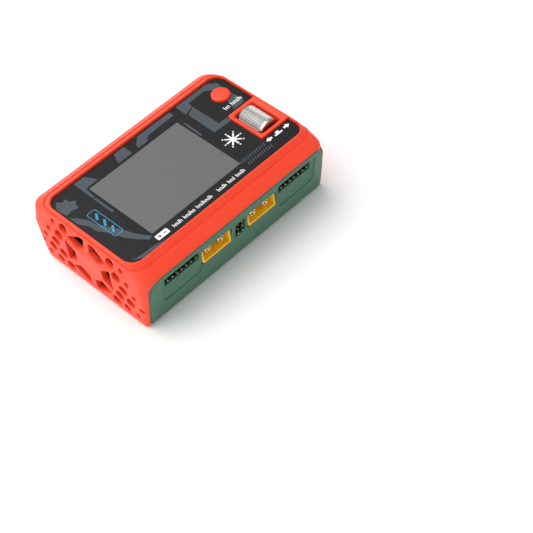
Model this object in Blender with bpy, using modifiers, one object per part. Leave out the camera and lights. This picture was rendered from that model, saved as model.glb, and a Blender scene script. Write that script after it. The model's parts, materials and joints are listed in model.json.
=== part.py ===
"""Balance battery charger for model aircraft packs: a dual-output charger in a two-part plastic case.

Metres, +Z up. +X runs along the long side, seen from the connector face, which looks towards -Y.
The origin is on the table, under the middle of the case, and the case stands on four rubber feet.
"""

import math

import bmesh
import bpy
from mathutils import Matrix, Vector

MM = 0.001
GAP = 0.3 * MM

# Case, outside. The long faces lean in towards the bottom. The ends are widest at their waist.
HALF_LENGTH, HALF_LENGTH_BASE = 51.4 * MM, 50.8 * MM
HOLLOW_HALF_LENGTH = 48.7 * MM
WAIST_Z = 21.0 * MM
HALF_DEPTH_SHOULDER = 34.75 * MM
SHOULDER_Z = 27.6 * MM
FACE_LEAN = 0.16
BOTTOM_Z = 1.0 * MM
RIM_Z = 33.0 * MM
WALL = 2.1 * MM
FLOOR_Z = 3.0 * MM
CEILING_Z = 28.9 * MM
CORNER_SIDES = 6

# Printed film on the top, and the recess that it lies in.
FILM_HALF_X, FILM_HALF_Y, FILM_CORNER = 47.85 * MM, 25.6 * MM, 5.2 * MM
FILM_TOP_Z = 32.0 * MM
FILM_THICKNESS = 0.7 * MM
RECESS_FLOOR_Z = FILM_TOP_Z - FILM_THICKNESS - GAP

# Arched opening in each long side, which the bottom shell fills.
ARCH_X, ARCH_HALF_WIDTH = 0.75 * MM, 49.55 * MM
ARCH_TOP_Z = 27.45 * MM
ARCH_CORNER = 6.5 * MM

# Display.
SCREEN_X, SCREEN_Y = -7.0 * MM, -0.3 * MM
SCREEN_SIZE_X, SCREEN_SIZE_Y = 48.9 * MM, 37.3 * MM
SCREEN_MODULE_X, SCREEN_MODULE_Y, SCREEN_MODULE_HEIGHT = 60.0 * MM, 42.6 * MM, 2.4 * MM
RIBBON_WIDTH, RIBBON_THICKNESS = 14.0 * MM, 0.35 * MM

# Scroll wheel and the raised frame round its window, which runs into the rim.
WHEEL_X, WHEEL_Y, WHEEL_Z = 39.9 * MM, -6.4 * MM, 29.3 * MM
WHEEL_RADIUS, WHEEL_LENGTH = 5.3 * MM, 13.6 * MM
WINDOW_SIZE_X, WINDOW_SIZE_Y = 11.0 * MM, 15.9 * MM
WINDOW_FRAME_WALL = 1.7 * MM
WINDOW_FRAME_HALF_Y = WINDOW_SIZE_Y / 2 + WINDOW_FRAME_WALL + 0.3 * MM
WHEEL_TRAVEL = 0.5 * MM
AXLE_RADIUS = 1.0 * MM

# Exit button.
BUTTON_X, BUTTON_Y = 40.2 * MM, 15.4 * MM
BUTTON_RADIUS = 4.2 * MM
BUTTON_TOP_Z = 33.4 * MM

# Boards.
BOARD_THICKNESS = 1.6 * MM
MAIN_BOARD_TOP_Z = 13.6 * MM
MAIN_BOARD_SIZE_X, MAIN_BOARD_SIZE_Y = 96.4 * MM, 56.4 * MM
ON_MAIN_BOARD_Z = MAIN_BOARD_TOP_Z + GAP
UI_BOARD_TOP_Z = 18.3 * MM
ON_UI_BOARD_Z = UI_BOARD_TOP_Z + GAP
UI_BOARD_X, UI_BOARD_Y = (27.6 * MM, 48.2 * MM), (-16.6 * MM, 18.3 * MM)
SPACER_X, SPACER_RADIUS = 30.2 * MM, 2.0 * MM
SPACER_Y = {"front": -13.0 * MM, "back": 16.0 * MM}

# What the main board carries.
SINK_X, SINK_LENGTH, SINK_BASE, SINK_HEIGHT = -24.0 * MM, 20.0 * MM, 2.0 * MM, 10.0 * MM
FINS, FIN_PITCH, FIN_THICKNESS = 7, 3.2 * MM, 1.2 * MM
CHOKE_X, CHOKE_SIZE, CHOKE_HEIGHT = 5.0 * MM, 12.0 * MM, 7.0 * MM
CHOKE_Y = {"front": -7.5 * MM, "back": 7.5 * MM}
CAPACITOR_Y, CAPACITOR_RADIUS, CAPACITOR_HEIGHT = 21.0 * MM, 4.0 * MM, 10.0 * MM
CAPACITOR_X = {"left": -24.0 * MM, "middle_left": -15.0 * MM, "right": 12.7 * MM}
BUZZER_PLACE, BUZZER_RADIUS, BUZZER_HEIGHT = (20.0 * MM, -9.0 * MM), 4.5 * MM, 4.5 * MM
CHIP_PLACE, CHIP_SIZE = (19.0 * MM, 4.0 * MM), (9.0 * MM, 9.0 * MM, 1.2 * MM)

# Connectors. The outputs and balance headers stand either side of CONNECTORS_X.
CONNECTORS_X = 0.6 * MM
XT60_SIZE_X, XT60_SIZE_Z, XT60_LENGTH, XT60_WALL = 15.9 * MM, 8.1 * MM, 16.0 * MM, 0.9 * MM
XT60_Z = 17.96 * MM
XT60_FACE_Y = 32.8 * MM
XT60_OUTPUT_X = 12.76 * MM
XT60_PIN_SPACING, XT60_PIN_RADIUS = 7.2 * MM, 1.75 * MM
BALANCE_X, BALANCE_Z = 31.7 * MM, 21.25 * MM
BALANCE_PINS, BALANCE_PITCH, PIN_SIZE = 7, 2.5 * MM, 0.64 * MM
BALANCE_OPENING_X, BALANCE_OPENING_Z = 18.5 * MM, 4.4 * MM
SIGNAL_X, SIGNAL_Z, SIGNAL_PITCH = 1.0 * MM, 17.6 * MM, 2.54 * MM
SIGNAL_OPENING_X, SIGNAL_OPENING_Z = 5.5 * MM, 8.2 * MM
HEADER_SET_BACK, PIN_SET_BACK, HEADER_BACK_Y = 1.4 * MM, 0.3 * MM, -22.0 * MM
POCKET_X = {-1: (-10.9 * MM, 10.9 * MM), 1: (-9.3 * MM, 12.0 * MM)}
POCKET_Z, POCKET_DEPTH, POCKET_CORNER = (9.6 * MM, 24.6 * MM), 0.4 * MM, 2.6 * MM
USB_X, USB_SIZE_X, USB_SIZE_Z, USB_LENGTH = 24.0 * MM, 13.1 * MM, 5.7 * MM, 14.0 * MM

# Fan behind the left end.
FAN_SIZE, FAN_DEPTH, FAN_Z = 25.0 * MM, 10.0 * MM, 16.0 * MM
FAN_X = -HOLLOW_HALF_LENGTH + GAP + FAN_DEPTH / 2
FAN_BORE_RADIUS, FAN_HUB_RADIUS, FAN_BLADES = 11.8 * MM, 5.5 * MM, 7
BLADE_TILT = math.radians(42)

# Air openings in each end: six round a hub, and staggered rows of hexagons either side of them.
VENT_CENTRE_Z = 16.6 * MM
VENT_PITCH = 6.3 * MM
VENT_ROW_PITCH = VENT_PITCH * math.sqrt(3) / 2
VENT_RING_INNER, VENT_RING_OUTER, VENT_SPOKE = 7.7 * MM, 13.3 * MM, 3.0 * MM
VENT_TOP_Z, VENT_LOW_Z = 29.6 * MM, 3.6 * MM
VENT_FIRST_Y = 20.17 * MM
VENT_RADII = {"large": 2.65 * MM, "medium": 2.1 * MM, "small": 1.45 * MM}
VENT_ROWS = {
    2: ("large", "small"),
    1: ("large", "small"),
    0: ("large", "small"),
    -1: ("large", "large", "small"),
    -2: ("large", "medium", "small"),
}

# Fasteners and feet.
SCREW_X, SCREW_Y = 45.3 * MM, 23.0 * MM
FOOT_X, FOOT_Y, FOOT_RADIUS = 36.0 * MM, 21.0 * MM, 4.0 * MM

LOOKS = {
    "red_plastic": ((0.90, 0.09, 0.03, 1), 0.5, 0.0),
    "green_plastic": ((0.075, 0.19, 0.12, 1), 0.5, 0.0),
    "film": ((0.035, 0.035, 0.037, 1), 0.35, 0.0),
    "display_glass": ((0.2, 0.2, 0.2, 1), 0.2, 0.0),
    "yellow_nylon": ((0.95, 0.48, 0.02, 1), 0.45, 0.0),
    "gold": ((0.83, 0.6, 0.28, 1), 0.25, 1.0),
    "black_plastic": ((0.012, 0.012, 0.013, 1), 0.45, 0.0),
    "circuit_board": ((0.01, 0.07, 0.03, 1), 0.4, 0.0),
    "steel": ((0.62, 0.62, 0.62, 1), 0.3, 1.0),
    "aluminium": ((0.8, 0.8, 0.8, 1), 0.35, 1.0),
    "rubber": ((0.02, 0.02, 0.02, 1), 0.85, 0.0),
    "flex_film": ((0.35, 0.13, 0.02, 1), 0.4, 0.0),
}


def clear_scene():
    for obj in list(bpy.data.objects):
        bpy.data.objects.remove(obj, do_unlink=True)


def make_collection(name, hidden):
    group = bpy.data.collections.new(name)
    group.hide_render = hidden
    bpy.context.scene.collection.children.link(group)
    return group


def make_looks():
    for name, (colour, roughness, metallic) in LOOKS.items():
        look = bpy.data.materials.new(name)
        look.use_nodes = True
        look.diffuse_color = colour
        shader = look.node_tree.nodes["Principled BSDF"]
        shader.inputs["Base Color"].default_value = colour
        shader.inputs["Roughness"].default_value = roughness
        shader.inputs["Metallic"].default_value = metallic


def finish_mesh(bm, name, look, location):
    """An object from a bmesh that is modelled round its own origin. A look of None makes it a cutter."""
    bmesh.ops.recalc_face_normals(bm, faces=bm.faces)
    mesh = bpy.data.meshes.new(name)
    bm.to_mesh(mesh)
    bm.free()
    obj = bpy.data.objects.new(name, mesh)
    obj.location = location
    if look is None:
        obj.hide_render = True
        obj.display_type = "WIRE"
        CUTTERS.objects.link(obj)
    else:
        mesh.materials.append(bpy.data.materials[look])
        PARTS.objects.link(obj)
    return obj


def box(name, size, centre, look=None, corner=0.0, corner_axis=2, corner_sides=3):
    """A box. With a corner radius, its four edges along corner_axis are rounded."""
    bm = bmesh.new()
    bmesh.ops.create_cube(bm, size=1)
    bmesh.ops.scale(bm, vec=size, verts=bm.verts)
    if corner:
        spans = [(e, abs((e.verts[0].co - e.verts[1].co)[corner_axis])) for e in bm.edges]
        along = [e for e, length in spans if length > size[corner_axis] / 2]
        bmesh.ops.bevel(bm, geom=along, offset=corner, segments=corner_sides, profile=0.5, affect="EDGES")
    return finish_mesh(bm, name, look, centre)


def span_box(name, x, y, z, look=None, corner=0.0, corner_axis=2):
    """A box given by its lowest and highest place along each axis."""
    spans = (x, y, z)
    size = [high - low for low, high in spans]
    centre = [(high + low) / 2 for low, high in spans]
    return box(name, size, centre, look, corner, corner_axis)


def rod(name, radius, length, centre, look=None, axis="Z", sides=20):
    """A cylinder along an axis, centred on its own origin."""
    bm = bmesh.new()
    bmesh.ops.create_cone(bm, cap_ends=True, segments=sides, radius1=radius, radius2=radius, depth=length)
    if axis == "X":
        bmesh.ops.rotate(bm, matrix=Matrix.Rotation(math.pi / 2, 3, "Y"), verts=bm.verts)
    elif axis == "Y":
        bmesh.ops.rotate(bm, matrix=Matrix.Rotation(-math.pi / 2, 3, "X"), verts=bm.verts)
    return finish_mesh(bm, name, look, centre)


def prism(name, outlines, direction, look=None, location=(0, 0, 0)):
    """Flat outlines, each a list of 3-D points, pushed along a direction."""
    bm = bmesh.new()
    for outline in outlines:
        face = bm.faces.new([bm.verts.new(point) for point in outline])
        pushed = bmesh.ops.extrude_face_region(bm, geom=[face])["geom"]
        moved = [item for item in pushed if isinstance(item, bmesh.types.BMVert)]
        bmesh.ops.translate(bm, vec=direction, verts=moved)
    return finish_mesh(bm, name, look, location)


def rounded_ring(half_x, half_y, radius, z):
    """Points round a rounded rectangle, always the same number of them."""
    points = []
    for corner, (sign_x, sign_y) in enumerate(((1, 1), (-1, 1), (-1, -1), (1, -1))):
        for step in range(CORNER_SIDES + 1):
            angle = (corner + step / CORNER_SIDES) * math.pi / 2
            x = sign_x * (half_x - radius) + radius * math.cos(angle)
            y = sign_y * (half_y - radius) + radius * math.sin(angle)
            points.append(Vector((x, y, z)))
    return points


def loft(name, sections, look=None):
    """A closed skin over rounded rectangles, each (z, half_x, half_y, corner radius)."""
    bm = bmesh.new()
    rings = [[bm.verts.new(point) for point in rounded_ring(x, y, r, z)] for z, x, y, r in sections]
    for low, high in zip(rings, rings[1:]):
        for i in range(len(low)):
            j = (i + 1) % len(low)
            bm.faces.new((low[i], low[j], high[j], high[i]))
    bm.faces.new(rings[0])
    bm.faces.new(rings[-1])
    return finish_mesh(bm, name, look, (0, 0, 0))


def combine(target, operation, others):
    for other in others:
        modifier = target.modifiers.new(f"{operation.lower()}_{other.name}"[:60], "BOOLEAN")
        modifier.operation = operation
        modifier.object = other


def cut(target, *cutters):
    combine(target, "DIFFERENCE", cutters)


def join(target, *others):
    combine(target, "UNION", others)


def half_depth_at(z):
    """Half the depth of the case across its leaning long faces."""
    return HALF_DEPTH_SHOULDER - FACE_LEAN * (SHOULDER_Z - z)


def outer_sections():
    """The outside of the whole case, from the table up: base edge, leaning sides, flare, groove and rim."""
    base, low, high = BOTTOM_Z + 0.6 * MM, SHOULDER_Z - 0.6 * MM, SHOULDER_Z + 0.6 * MM
    flare_end = HALF_DEPTH_SHOULDER - 4.35 * MM
    rim_x, rim_y = FILM_HALF_X + GAP, FILM_HALF_Y + GAP
    return [
        (BOTTOM_Z, HALF_LENGTH_BASE - 0.35 * MM, half_depth_at(base) - 0.5 * MM, 1.7 * MM),
        (BOTTOM_Z + 0.2 * MM, HALF_LENGTH_BASE - 0.1 * MM, half_depth_at(base) - 0.15 * MM, 1.9 * MM),
        (base, HALF_LENGTH_BASE, half_depth_at(base), 2.0 * MM),
        (WAIST_Z, HALF_LENGTH, half_depth_at(WAIST_Z), 3.5 * MM),
        (low, HALF_LENGTH - 0.9 * MM, half_depth_at(low), 6.0 * MM),
        (SHOULDER_Z, HALF_LENGTH - 1.0 * MM, HALF_DEPTH_SHOULDER, 6.0 * MM),
        (high, HALF_LENGTH - 1.1 * MM, HALF_DEPTH_SHOULDER - 0.6 * MM, 6.0 * MM),
        (SHOULDER_Z + 3.2 * MM, rim_x + 1.6 * MM, flare_end, 6.6 * MM),
        (SHOULDER_Z + 3.5 * MM, rim_x + 1.45 * MM, flare_end - 0.45 * MM, 6.6 * MM),
        (SHOULDER_Z + 2.9 * MM, rim_x + 1.35 * MM, flare_end - 0.9 * MM, 6.6 * MM),
        (SHOULDER_Z + 3.5 * MM, rim_x + 1.2 * MM, flare_end - 1.3 * MM, 6.6 * MM),
        (RIM_Z - 0.5 * MM, rim_x + 0.8 * MM, rim_y + 1.4 * MM, 6.3 * MM),
        (RIM_Z - 0.05 * MM, rim_x + 0.55 * MM, rim_y + 0.9 * MM, 6.0 * MM),
        (RIM_Z, rim_x + 0.35 * MM, rim_y + 0.5 * MM, 5.8 * MM),
        (RIM_Z - 0.25 * MM, rim_x + 0.15 * MM, rim_y + 0.15 * MM, 5.6 * MM),
        (RIM_Z - 0.6 * MM, rim_x + 0.03 * MM, rim_y + 0.03 * MM, 5.5 * MM),
        (RECESS_FLOOR_Z, rim_x, rim_y, FILM_CORNER + GAP),
    ]


def inner_sections(half_x, low_z, inset=0.0):
    """The hollow of the case. Its long sides follow the leaning faces."""
    knee_z = SHOULDER_Z - 0.6 * MM
    square_z = FLOOR_Z + 1 * MM
    return [
        (low_z, half_x, half_depth_at(low_z) - WALL - inset, GAP),
        (square_z, half_x, half_depth_at(square_z) - WALL - inset, GAP),
        (knee_z, half_x, half_depth_at(knee_z) - WALL - inset, 4.5 * MM),
        (CEILING_Z, half_x, HALF_DEPTH_SHOULDER - 4.75 * MM - inset, 4.5 * MM),
    ]


def arch_outline(half_width, top_z, corner, y):
    """The arch in the long faces: upright legs and round upper corners."""
    left, right = ARCH_X - half_width, ARCH_X + half_width
    points = [Vector((right, y, -GAP)), Vector((left, y, -GAP))]
    for centre_x, first in ((left + corner, math.pi), (right - corner, math.pi / 2)):
        for step in range(CORNER_SIDES + 1):
            angle = first - step / CORNER_SIDES * math.pi / 2
            x = centre_x + corner * math.cos(angle)
            z = top_z - corner + corner * math.sin(angle)
            points.append(Vector((x, y, z)))
    return points


def ring_vents(x):
    """The six openings round the hub, as outlines in the plane at x."""
    outlines = []
    for sector in range(6):
        turn = Matrix.Rotation(sector * math.pi / 3, 3, "X")
        corners = []
        for distance, side in (
            (VENT_RING_INNER, 1),
            (VENT_RING_INNER, -1),
            (VENT_RING_OUTER, -1),
            (VENT_RING_OUTER, 1),
        ):
            reach = distance * math.tan(math.pi / 6) - VENT_SPOKE / 2 / math.cos(math.pi / 6)
            corner = turn @ Vector((0, distance, side * reach)) + Vector((0, 0, VENT_CENTRE_Z))
            corners.append(Vector((x, corner.y, min(max(corner.z, VENT_LOW_Z), VENT_TOP_Z))))
        outlines.append(corners)
    return outlines


def hexagon_vents(x):
    """The rows of hexagonal openings on both sides of the ring, as outlines in the plane at x."""
    angles = [math.pi / 6 + corner * math.pi / 3 for corner in range(6)]
    outlines = []
    for row, sizes in VENT_ROWS.items():
        z = VENT_CENTRE_Z + row * VENT_ROW_PITCH
        for column, size in enumerate(sizes):
            y = VENT_FIRST_Y - abs(row) * VENT_PITCH / 2 + column * VENT_PITCH
            radius = VENT_RADII[size]
            for centre_y in (-y, y):
                corners = [(centre_y + radius * math.cos(a), z + radius * math.sin(a)) for a in angles]
                outlines.append([Vector((x, corner_y, corner_z)) for corner_y, corner_z in corners])
    return outlines


def corner_places(x, y):
    """Four places, named by their corner."""
    sides = {"front_left": (-1, -1), "front_right": (1, -1), "back_left": (-1, 1), "back_right": (1, 1)}
    return {name: (sign_x * x, sign_y * y) for name, (sign_x, sign_y) in sides.items()}


def top_shell():
    """The red shell: the top with its rim, and both ends with their air openings."""
    shell = loft("top_shell", outer_sections(), "red_plastic")
    hollow = loft("top_hollow", inner_sections(HOLLOW_HALF_LENGTH, -FLOOR_Z))
    arch = prism(
        "arch_cutter",
        [arch_outline(ARCH_HALF_WIDTH + GAP, ARCH_TOP_Z + GAP, ARCH_CORNER + GAP, -2 * HALF_DEPTH_SHOULDER)],
        (0, 4 * HALF_DEPTH_SHOULDER, 0),
    )
    cut(arch, loft("arch_core", inner_sections(2 * HALF_LENGTH, -FLOOR_Z, GAP)))
    cut(shell, hollow, arch)
    join(shell, window_frame())
    for name, (x, y) in corner_places(SCREW_X, SCREW_Y).items():
        low_z, high_z = MAIN_BOARD_TOP_Z + GAP, CEILING_Z + 1 * MM
        join(shell, rod(f"boss_{name}", 2.9 * MM, high_z - low_z, (x, y, (low_z + high_z) / 2), sides=12))
        cut(shell, rod(f"pilot_{name}", 1.5 * MM, 20 * MM, (x, y, low_z), sides=12))
    cut(shell, screen_cutter(), button_cutter("button_hole"), wheel_window())
    for side in (-1, 1):
        start = HOLLOW_HALF_LENGTH - 0.6 * MM
        depth = HALF_LENGTH + 1 * MM - start
        outlines = ring_vents(side * start) + hexagon_vents(side * start)
        cut(shell, prism(f"vents_{side}", outlines, (side * depth, 0, 0)))


def window_frame():
    """The raised frame round the scroll wheel's window, which runs into the rim on its right."""
    low_x = WHEEL_X - WINDOW_SIZE_X / 2 - WINDOW_FRAME_WALL
    x = (low_x, FILM_HALF_X + GAP + 0.35 * MM)
    y = (WHEEL_Y - WINDOW_FRAME_HALF_Y, WHEEL_Y + WINDOW_FRAME_HALF_Y)
    return span_box("wheel_frame", x, y, (CEILING_Z + 1 * MM, RIM_Z - 0.02 * MM))


def wheel_window():
    low_z = CEILING_Z - 2 * MM
    size = (WINDOW_SIZE_X, WINDOW_SIZE_Y, RIM_Z + 2 * MM - low_z)
    return box("wheel_window", size, (WHEEL_X, WHEEL_Y, low_z + size[2] / 2))


def screen_cutter():
    size = (SCREEN_SIZE_X + 1.6 * MM, SCREEN_SIZE_Y + 1.2 * MM, 6 * MM)
    return box("screen_opening", size, (SCREEN_X, SCREEN_Y, CEILING_Z))


def button_cutter(name):
    return rod(name, BUTTON_RADIUS + GAP, 12 * MM, (BUTTON_X, BUTTON_Y, CEILING_Z), sides=28)


def face_plate(name, x, z, depth, side=-1, corner=0.0):
    """A cutter that sinks a pocket into the leaning face on one side, to a depth measured square to it."""
    middle_z = sum(z) / 2
    size = (x[1] - x[0], 2 * depth, z[1] - z[0])
    plate = box(name, size, (sum(x) / 2, side * half_depth_at(middle_z), middle_z), None, corner, 1)
    plate.rotation_euler.x = -side * math.atan(FACE_LEAN)
    return plate


def mouth(name, x, z, size_x, size_z, side, corner=0.0):
    """A hole for a connector, straight through one long face."""
    centre = (x, side * (HALF_DEPTH_SHOULDER - WALL), z)
    return box(name, (size_x, 5 * WALL, size_z), centre, None, corner, 1)


def bottom_shell():
    """The green shell: the floor and both long faces, with the mouths of the connectors."""
    shell = loft("bottom_shell", outer_sections(), "green_plastic")
    arch = prism(
        "arch",
        [arch_outline(ARCH_HALF_WIDTH, ARCH_TOP_Z, ARCH_CORNER, -2 * HALF_DEPTH_SHOULDER)],
        (0, 4 * HALF_DEPTH_SHOULDER, 0),
    )
    combine(shell, "INTERSECT", [arch])
    cut(shell, loft("bottom_hollow", inner_sections(2 * HALF_LENGTH, FLOOR_Z)))
    floor_end = HOLLOW_HALF_LENGTH - GAP
    for side in (-1, 1):
        inner = half_depth_at(FLOOR_Z) - WALL
        x = sorted((side * floor_end, side * 2 * HALF_LENGTH))
        cut(shell, span_box(f"floor_end_{side}", x, (-inner, inner), (-FLOOR_Z, 2 * FLOOR_Z)))
    for name, (x, y) in corner_places(SCREW_X, SCREW_Y).items():
        high_z = MAIN_BOARD_TOP_Z - BOARD_THICKNESS - GAP
        low_z = FLOOR_Z - 0.5 * MM
        join(shell, rod(f"pillar_{name}", 3.0 * MM, high_z - low_z, (x, y, (low_z + high_z) / 2), sides=12))
        cut(shell, rod(f"screw_hole_{name}", 1.5 * MM, 30 * MM, (x, y, low_z), sides=12))
        cut(shell, rod(f"screw_seat_{name}", 2.6 * MM, 4.4 * MM, (x, y, BOTTOM_Z), sides=16))
    for name, (x, y) in corner_places(FOOT_X, FOOT_Y).items():
        cut(shell, rod(f"foot_seat_{name}", FOOT_RADIUS + GAP, 1.6 * MM, (x, y, BOTTOM_Z), sides=20))
    plug_opening = (XT60_SIZE_X + 2 * GAP, XT60_SIZE_Z + 2 * GAP)
    for side in (-1, 1):
        x = CONNECTORS_X + side * BALANCE_X
        pocket_x = tuple(x + reach for reach in POCKET_X[side])
        cut(shell, face_plate(f"pocket_{side}", pocket_x, POCKET_Z, POCKET_DEPTH, corner=POCKET_CORNER))
        opening = (BALANCE_OPENING_X, BALANCE_OPENING_Z)
        cut(shell, mouth(f"balance_mouth_{side}", x, BALANCE_Z, *opening, -1, 0.5 * MM))
        x = CONNECTORS_X + side * XT60_OUTPUT_X
        cut(shell, mouth(f"output_mouth_{side}", x, XT60_Z, *plug_opening, -1))
    cut(shell, mouth("signal_mouth", SIGNAL_X, SIGNAL_Z, SIGNAL_OPENING_X, SIGNAL_OPENING_Z, -1))
    cut(shell, mouth("input_mouth", 0, XT60_Z, *plug_opening, 1))
    usb_z = ON_MAIN_BOARD_Z + USB_SIZE_Z / 2
    cut(shell, mouth("usb_mouth", USB_X, usb_z, USB_SIZE_X + 2 * GAP, USB_SIZE_Z + 2 * GAP, 1))


def top_film():
    """The printed film, cut away for the exit button and for the wheel's frame."""
    size = (2 * FILM_HALF_X, 2 * FILM_HALF_Y, FILM_THICKNESS)
    centre = (0, 0, FILM_TOP_Z - FILM_THICKNESS / 2)
    film = box("top_film", size, centre, "film", FILM_CORNER, 2, CORNER_SIDES)
    low_x = WHEEL_X - WINDOW_SIZE_X / 2 - WINDOW_FRAME_WALL - GAP
    half_y = WINDOW_FRAME_HALF_Y + GAP
    y = (WHEEL_Y - half_y, WHEEL_Y + half_y)
    notch = span_box("film_notch", (low_x, 2 * HALF_LENGTH), y, (CEILING_Z, RIM_Z + 1 * MM))
    cut(film, notch, button_cutter("film_hole"))


def display():
    """The display module, the bracket that holds it up under the top, and its ribbon to the main board."""
    module_high = CEILING_Z - GAP
    module_low = module_high - SCREEN_MODULE_HEIGHT
    size = (SCREEN_MODULE_X, SCREEN_MODULE_Y, SCREEN_MODULE_HEIGHT)
    module = box("lcd_module", size, (SCREEN_X, SCREEN_Y, (module_low + module_high) / 2), "display_glass")
    half_x, half_y = SCREEN_SIZE_X / 2 + 0.45 * MM, SCREEN_SIZE_Y / 2 + 0.25 * MM
    x = (SCREEN_X - half_x, SCREEN_X + half_x)
    y = (SCREEN_Y - half_y, SCREEN_Y + half_y)
    join(module, span_box("lcd_glass", x, y, (module_low + 1 * MM, RECESS_FLOOR_Z)))

    bracket_top, bracket_height, bracket_lip = module_low - GAP, 1.2 * MM, 3.0 * MM
    centre = (SCREEN_X, SCREEN_Y, bracket_top - bracket_height / 2)
    size = (SCREEN_MODULE_X + 2 * GAP, SCREEN_MODULE_Y + 1.4 * MM, bracket_height)
    bracket = box("lcd_bracket", size, centre, "black_plastic")
    opening = (SCREEN_MODULE_X - 2 * bracket_lip, SCREEN_MODULE_Y - 2.2 * bracket_lip, 4 * MM)
    cut(bracket, box("bracket_opening", opening, centre))

    ribbon_x = SCREEN_X - 22.6 * MM
    outside = [
        (ribbon_x + 10 * MM, bracket_top),
        (ribbon_x, bracket_top - 1 * MM),
        (ribbon_x - 2 * MM, ON_MAIN_BOARD_Z + 2 * MM),
        (ribbon_x + 1 * MM, ON_MAIN_BOARD_Z),
    ]
    rises = (-RIBBON_THICKNESS, -RIBBON_THICKNESS, RIBBON_THICKNESS, RIBBON_THICKNESS)
    inside = [(x + RIBBON_THICKNESS, z + rise) for (x, z), rise in zip(outside, rises)]
    outline = [Vector((x, SCREEN_Y - RIBBON_WIDTH / 2, z)) for x, z in outside + inside[::-1]]
    prism("lcd_flex", [outline], (0, RIBBON_WIDTH, 0), "flex_film")


def boards():
    """The main board, notched for the fan, and the small board that carries the wheel and the button."""
    board_z = MAIN_BOARD_TOP_Z - BOARD_THICKNESS / 2
    size = (MAIN_BOARD_SIZE_X, MAIN_BOARD_SIZE_Y, BOARD_THICKNESS)
    main = box("main_board", size, (0, 0, board_z), "circuit_board", 2 * MM)
    reach = FAN_SIZE / 2 + 0.5 * MM
    notch_x = (-2 * HALF_LENGTH, FAN_X + FAN_DEPTH / 2 + 0.5 * MM)
    cut(main, span_box("fan_notch", notch_x, (-reach, reach), (0, FAN_SIZE)))
    for name, (x, y) in corner_places(SCREW_X, SCREW_Y).items():
        cut(main, rod(f"board_hole_{name}", 1.6 * MM, 6 * MM, (x, y, board_z), sides=12))
    ui_low = UI_BOARD_TOP_Z - BOARD_THICKNESS
    ui_z = (ui_low, UI_BOARD_TOP_Z)
    span_box("ui_board", UI_BOARD_X, UI_BOARD_Y, ui_z, "circuit_board", 1 * MM)
    spacer = (ON_MAIN_BOARD_Z, ui_low - GAP)
    for name, y in SPACER_Y.items():
        place = (SPACER_X, y, sum(spacer) / 2)
        rod(f"ui_spacer_{name}", SPACER_RADIUS, spacer[1] - spacer[0], place, "steel", sides=6)


def xt60(name, x, side):
    """An XT60 plug housing and its two split pins, facing out of the long face on one side."""
    face = side * XT60_FACE_Y
    middle = face - side * XT60_LENGTH / 2
    size = (XT60_SIZE_X, XT60_LENGTH, XT60_SIZE_Z)
    housing = box(f"{name}_housing", size, (x, middle, XT60_Z), "yellow_nylon", 0.35 * MM, 1, 2)
    well = (XT60_SIZE_X - 2 * XT60_WALL, 22 * MM, XT60_SIZE_Z - 2 * XT60_WALL)
    cut(housing, box(f"{name}_well", well, (x, face, XT60_Z), None, 0.5 * MM, 1, 2))
    tip = face - side * 1.2 * MM
    pin_length, slot, foot = XT60_LENGTH + 1.4 * MM, 0.55 * MM, 1.0 * MM
    foot_y = face - side * pin_length
    for end, offset in (("left", -XT60_PIN_SPACING / 2), ("right", XT60_PIN_SPACING / 2)):
        pin_x = x + offset
        hole_name, hole_centre = f"{name}_{end}_hole", (pin_x, middle, XT60_Z)
        cut(housing, rod(hole_name, XT60_PIN_RADIUS + GAP, 2 * XT60_LENGTH, hole_centre, axis="Y", sides=16))
        centre = (pin_x, tip - side * pin_length / 2, XT60_Z)
        pin = rod(f"{name}_pin_{end}", XT60_PIN_RADIUS, pin_length, centre, "gold", "Y", 16)
        cut(pin, box(f"{name}_{end}_slot_x", (5 * MM, 9 * MM, slot), (pin_x, tip, XT60_Z)))
        cut(pin, box(f"{name}_{end}_slot_z", (slot, 9 * MM, 5 * MM), (pin_x, tip, XT60_Z)))
        foot_x = (pin_x - foot, pin_x + foot)
        foot_span_y = (foot_y - 0.9 * foot, foot_y + 0.9 * foot)
        join(pin, span_box(f"{name}_{end}_foot", foot_x, foot_span_y, (ON_MAIN_BOARD_Z, XT60_Z)))


def header_housing(name, place, opening, body_x, body_top):
    """A pin header's housing, with a nose that fills its mouth in the front face."""
    x, z = place
    nose_x, nose_z, nose_wall = opening[0] - 2 * GAP, opening[1] - 2 * GAP, 0.5 * MM
    face_y = -half_depth_at(z) + HEADER_SET_BACK
    body_y = (-half_depth_at(ON_MAIN_BOARD_Z) + WALL + GAP, HEADER_BACK_Y)
    half = body_x / 2
    housing = span_box(name, (x - half, x + half), body_y, (ON_MAIN_BOARD_Z, body_top), "black_plastic")
    length = HEADER_BACK_Y - 2 * MM - face_y
    join(housing, box(f"{name}_nose", (nose_x, length, nose_z), (x, face_y + length / 2, z)))
    well = (nose_x - 2 * nose_wall, length, nose_z - 2 * nose_wall)
    cut(housing, box(f"{name}_well", well, (x, face_y + length / 2 - 0.5 * MM, z)))
    return housing


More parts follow.
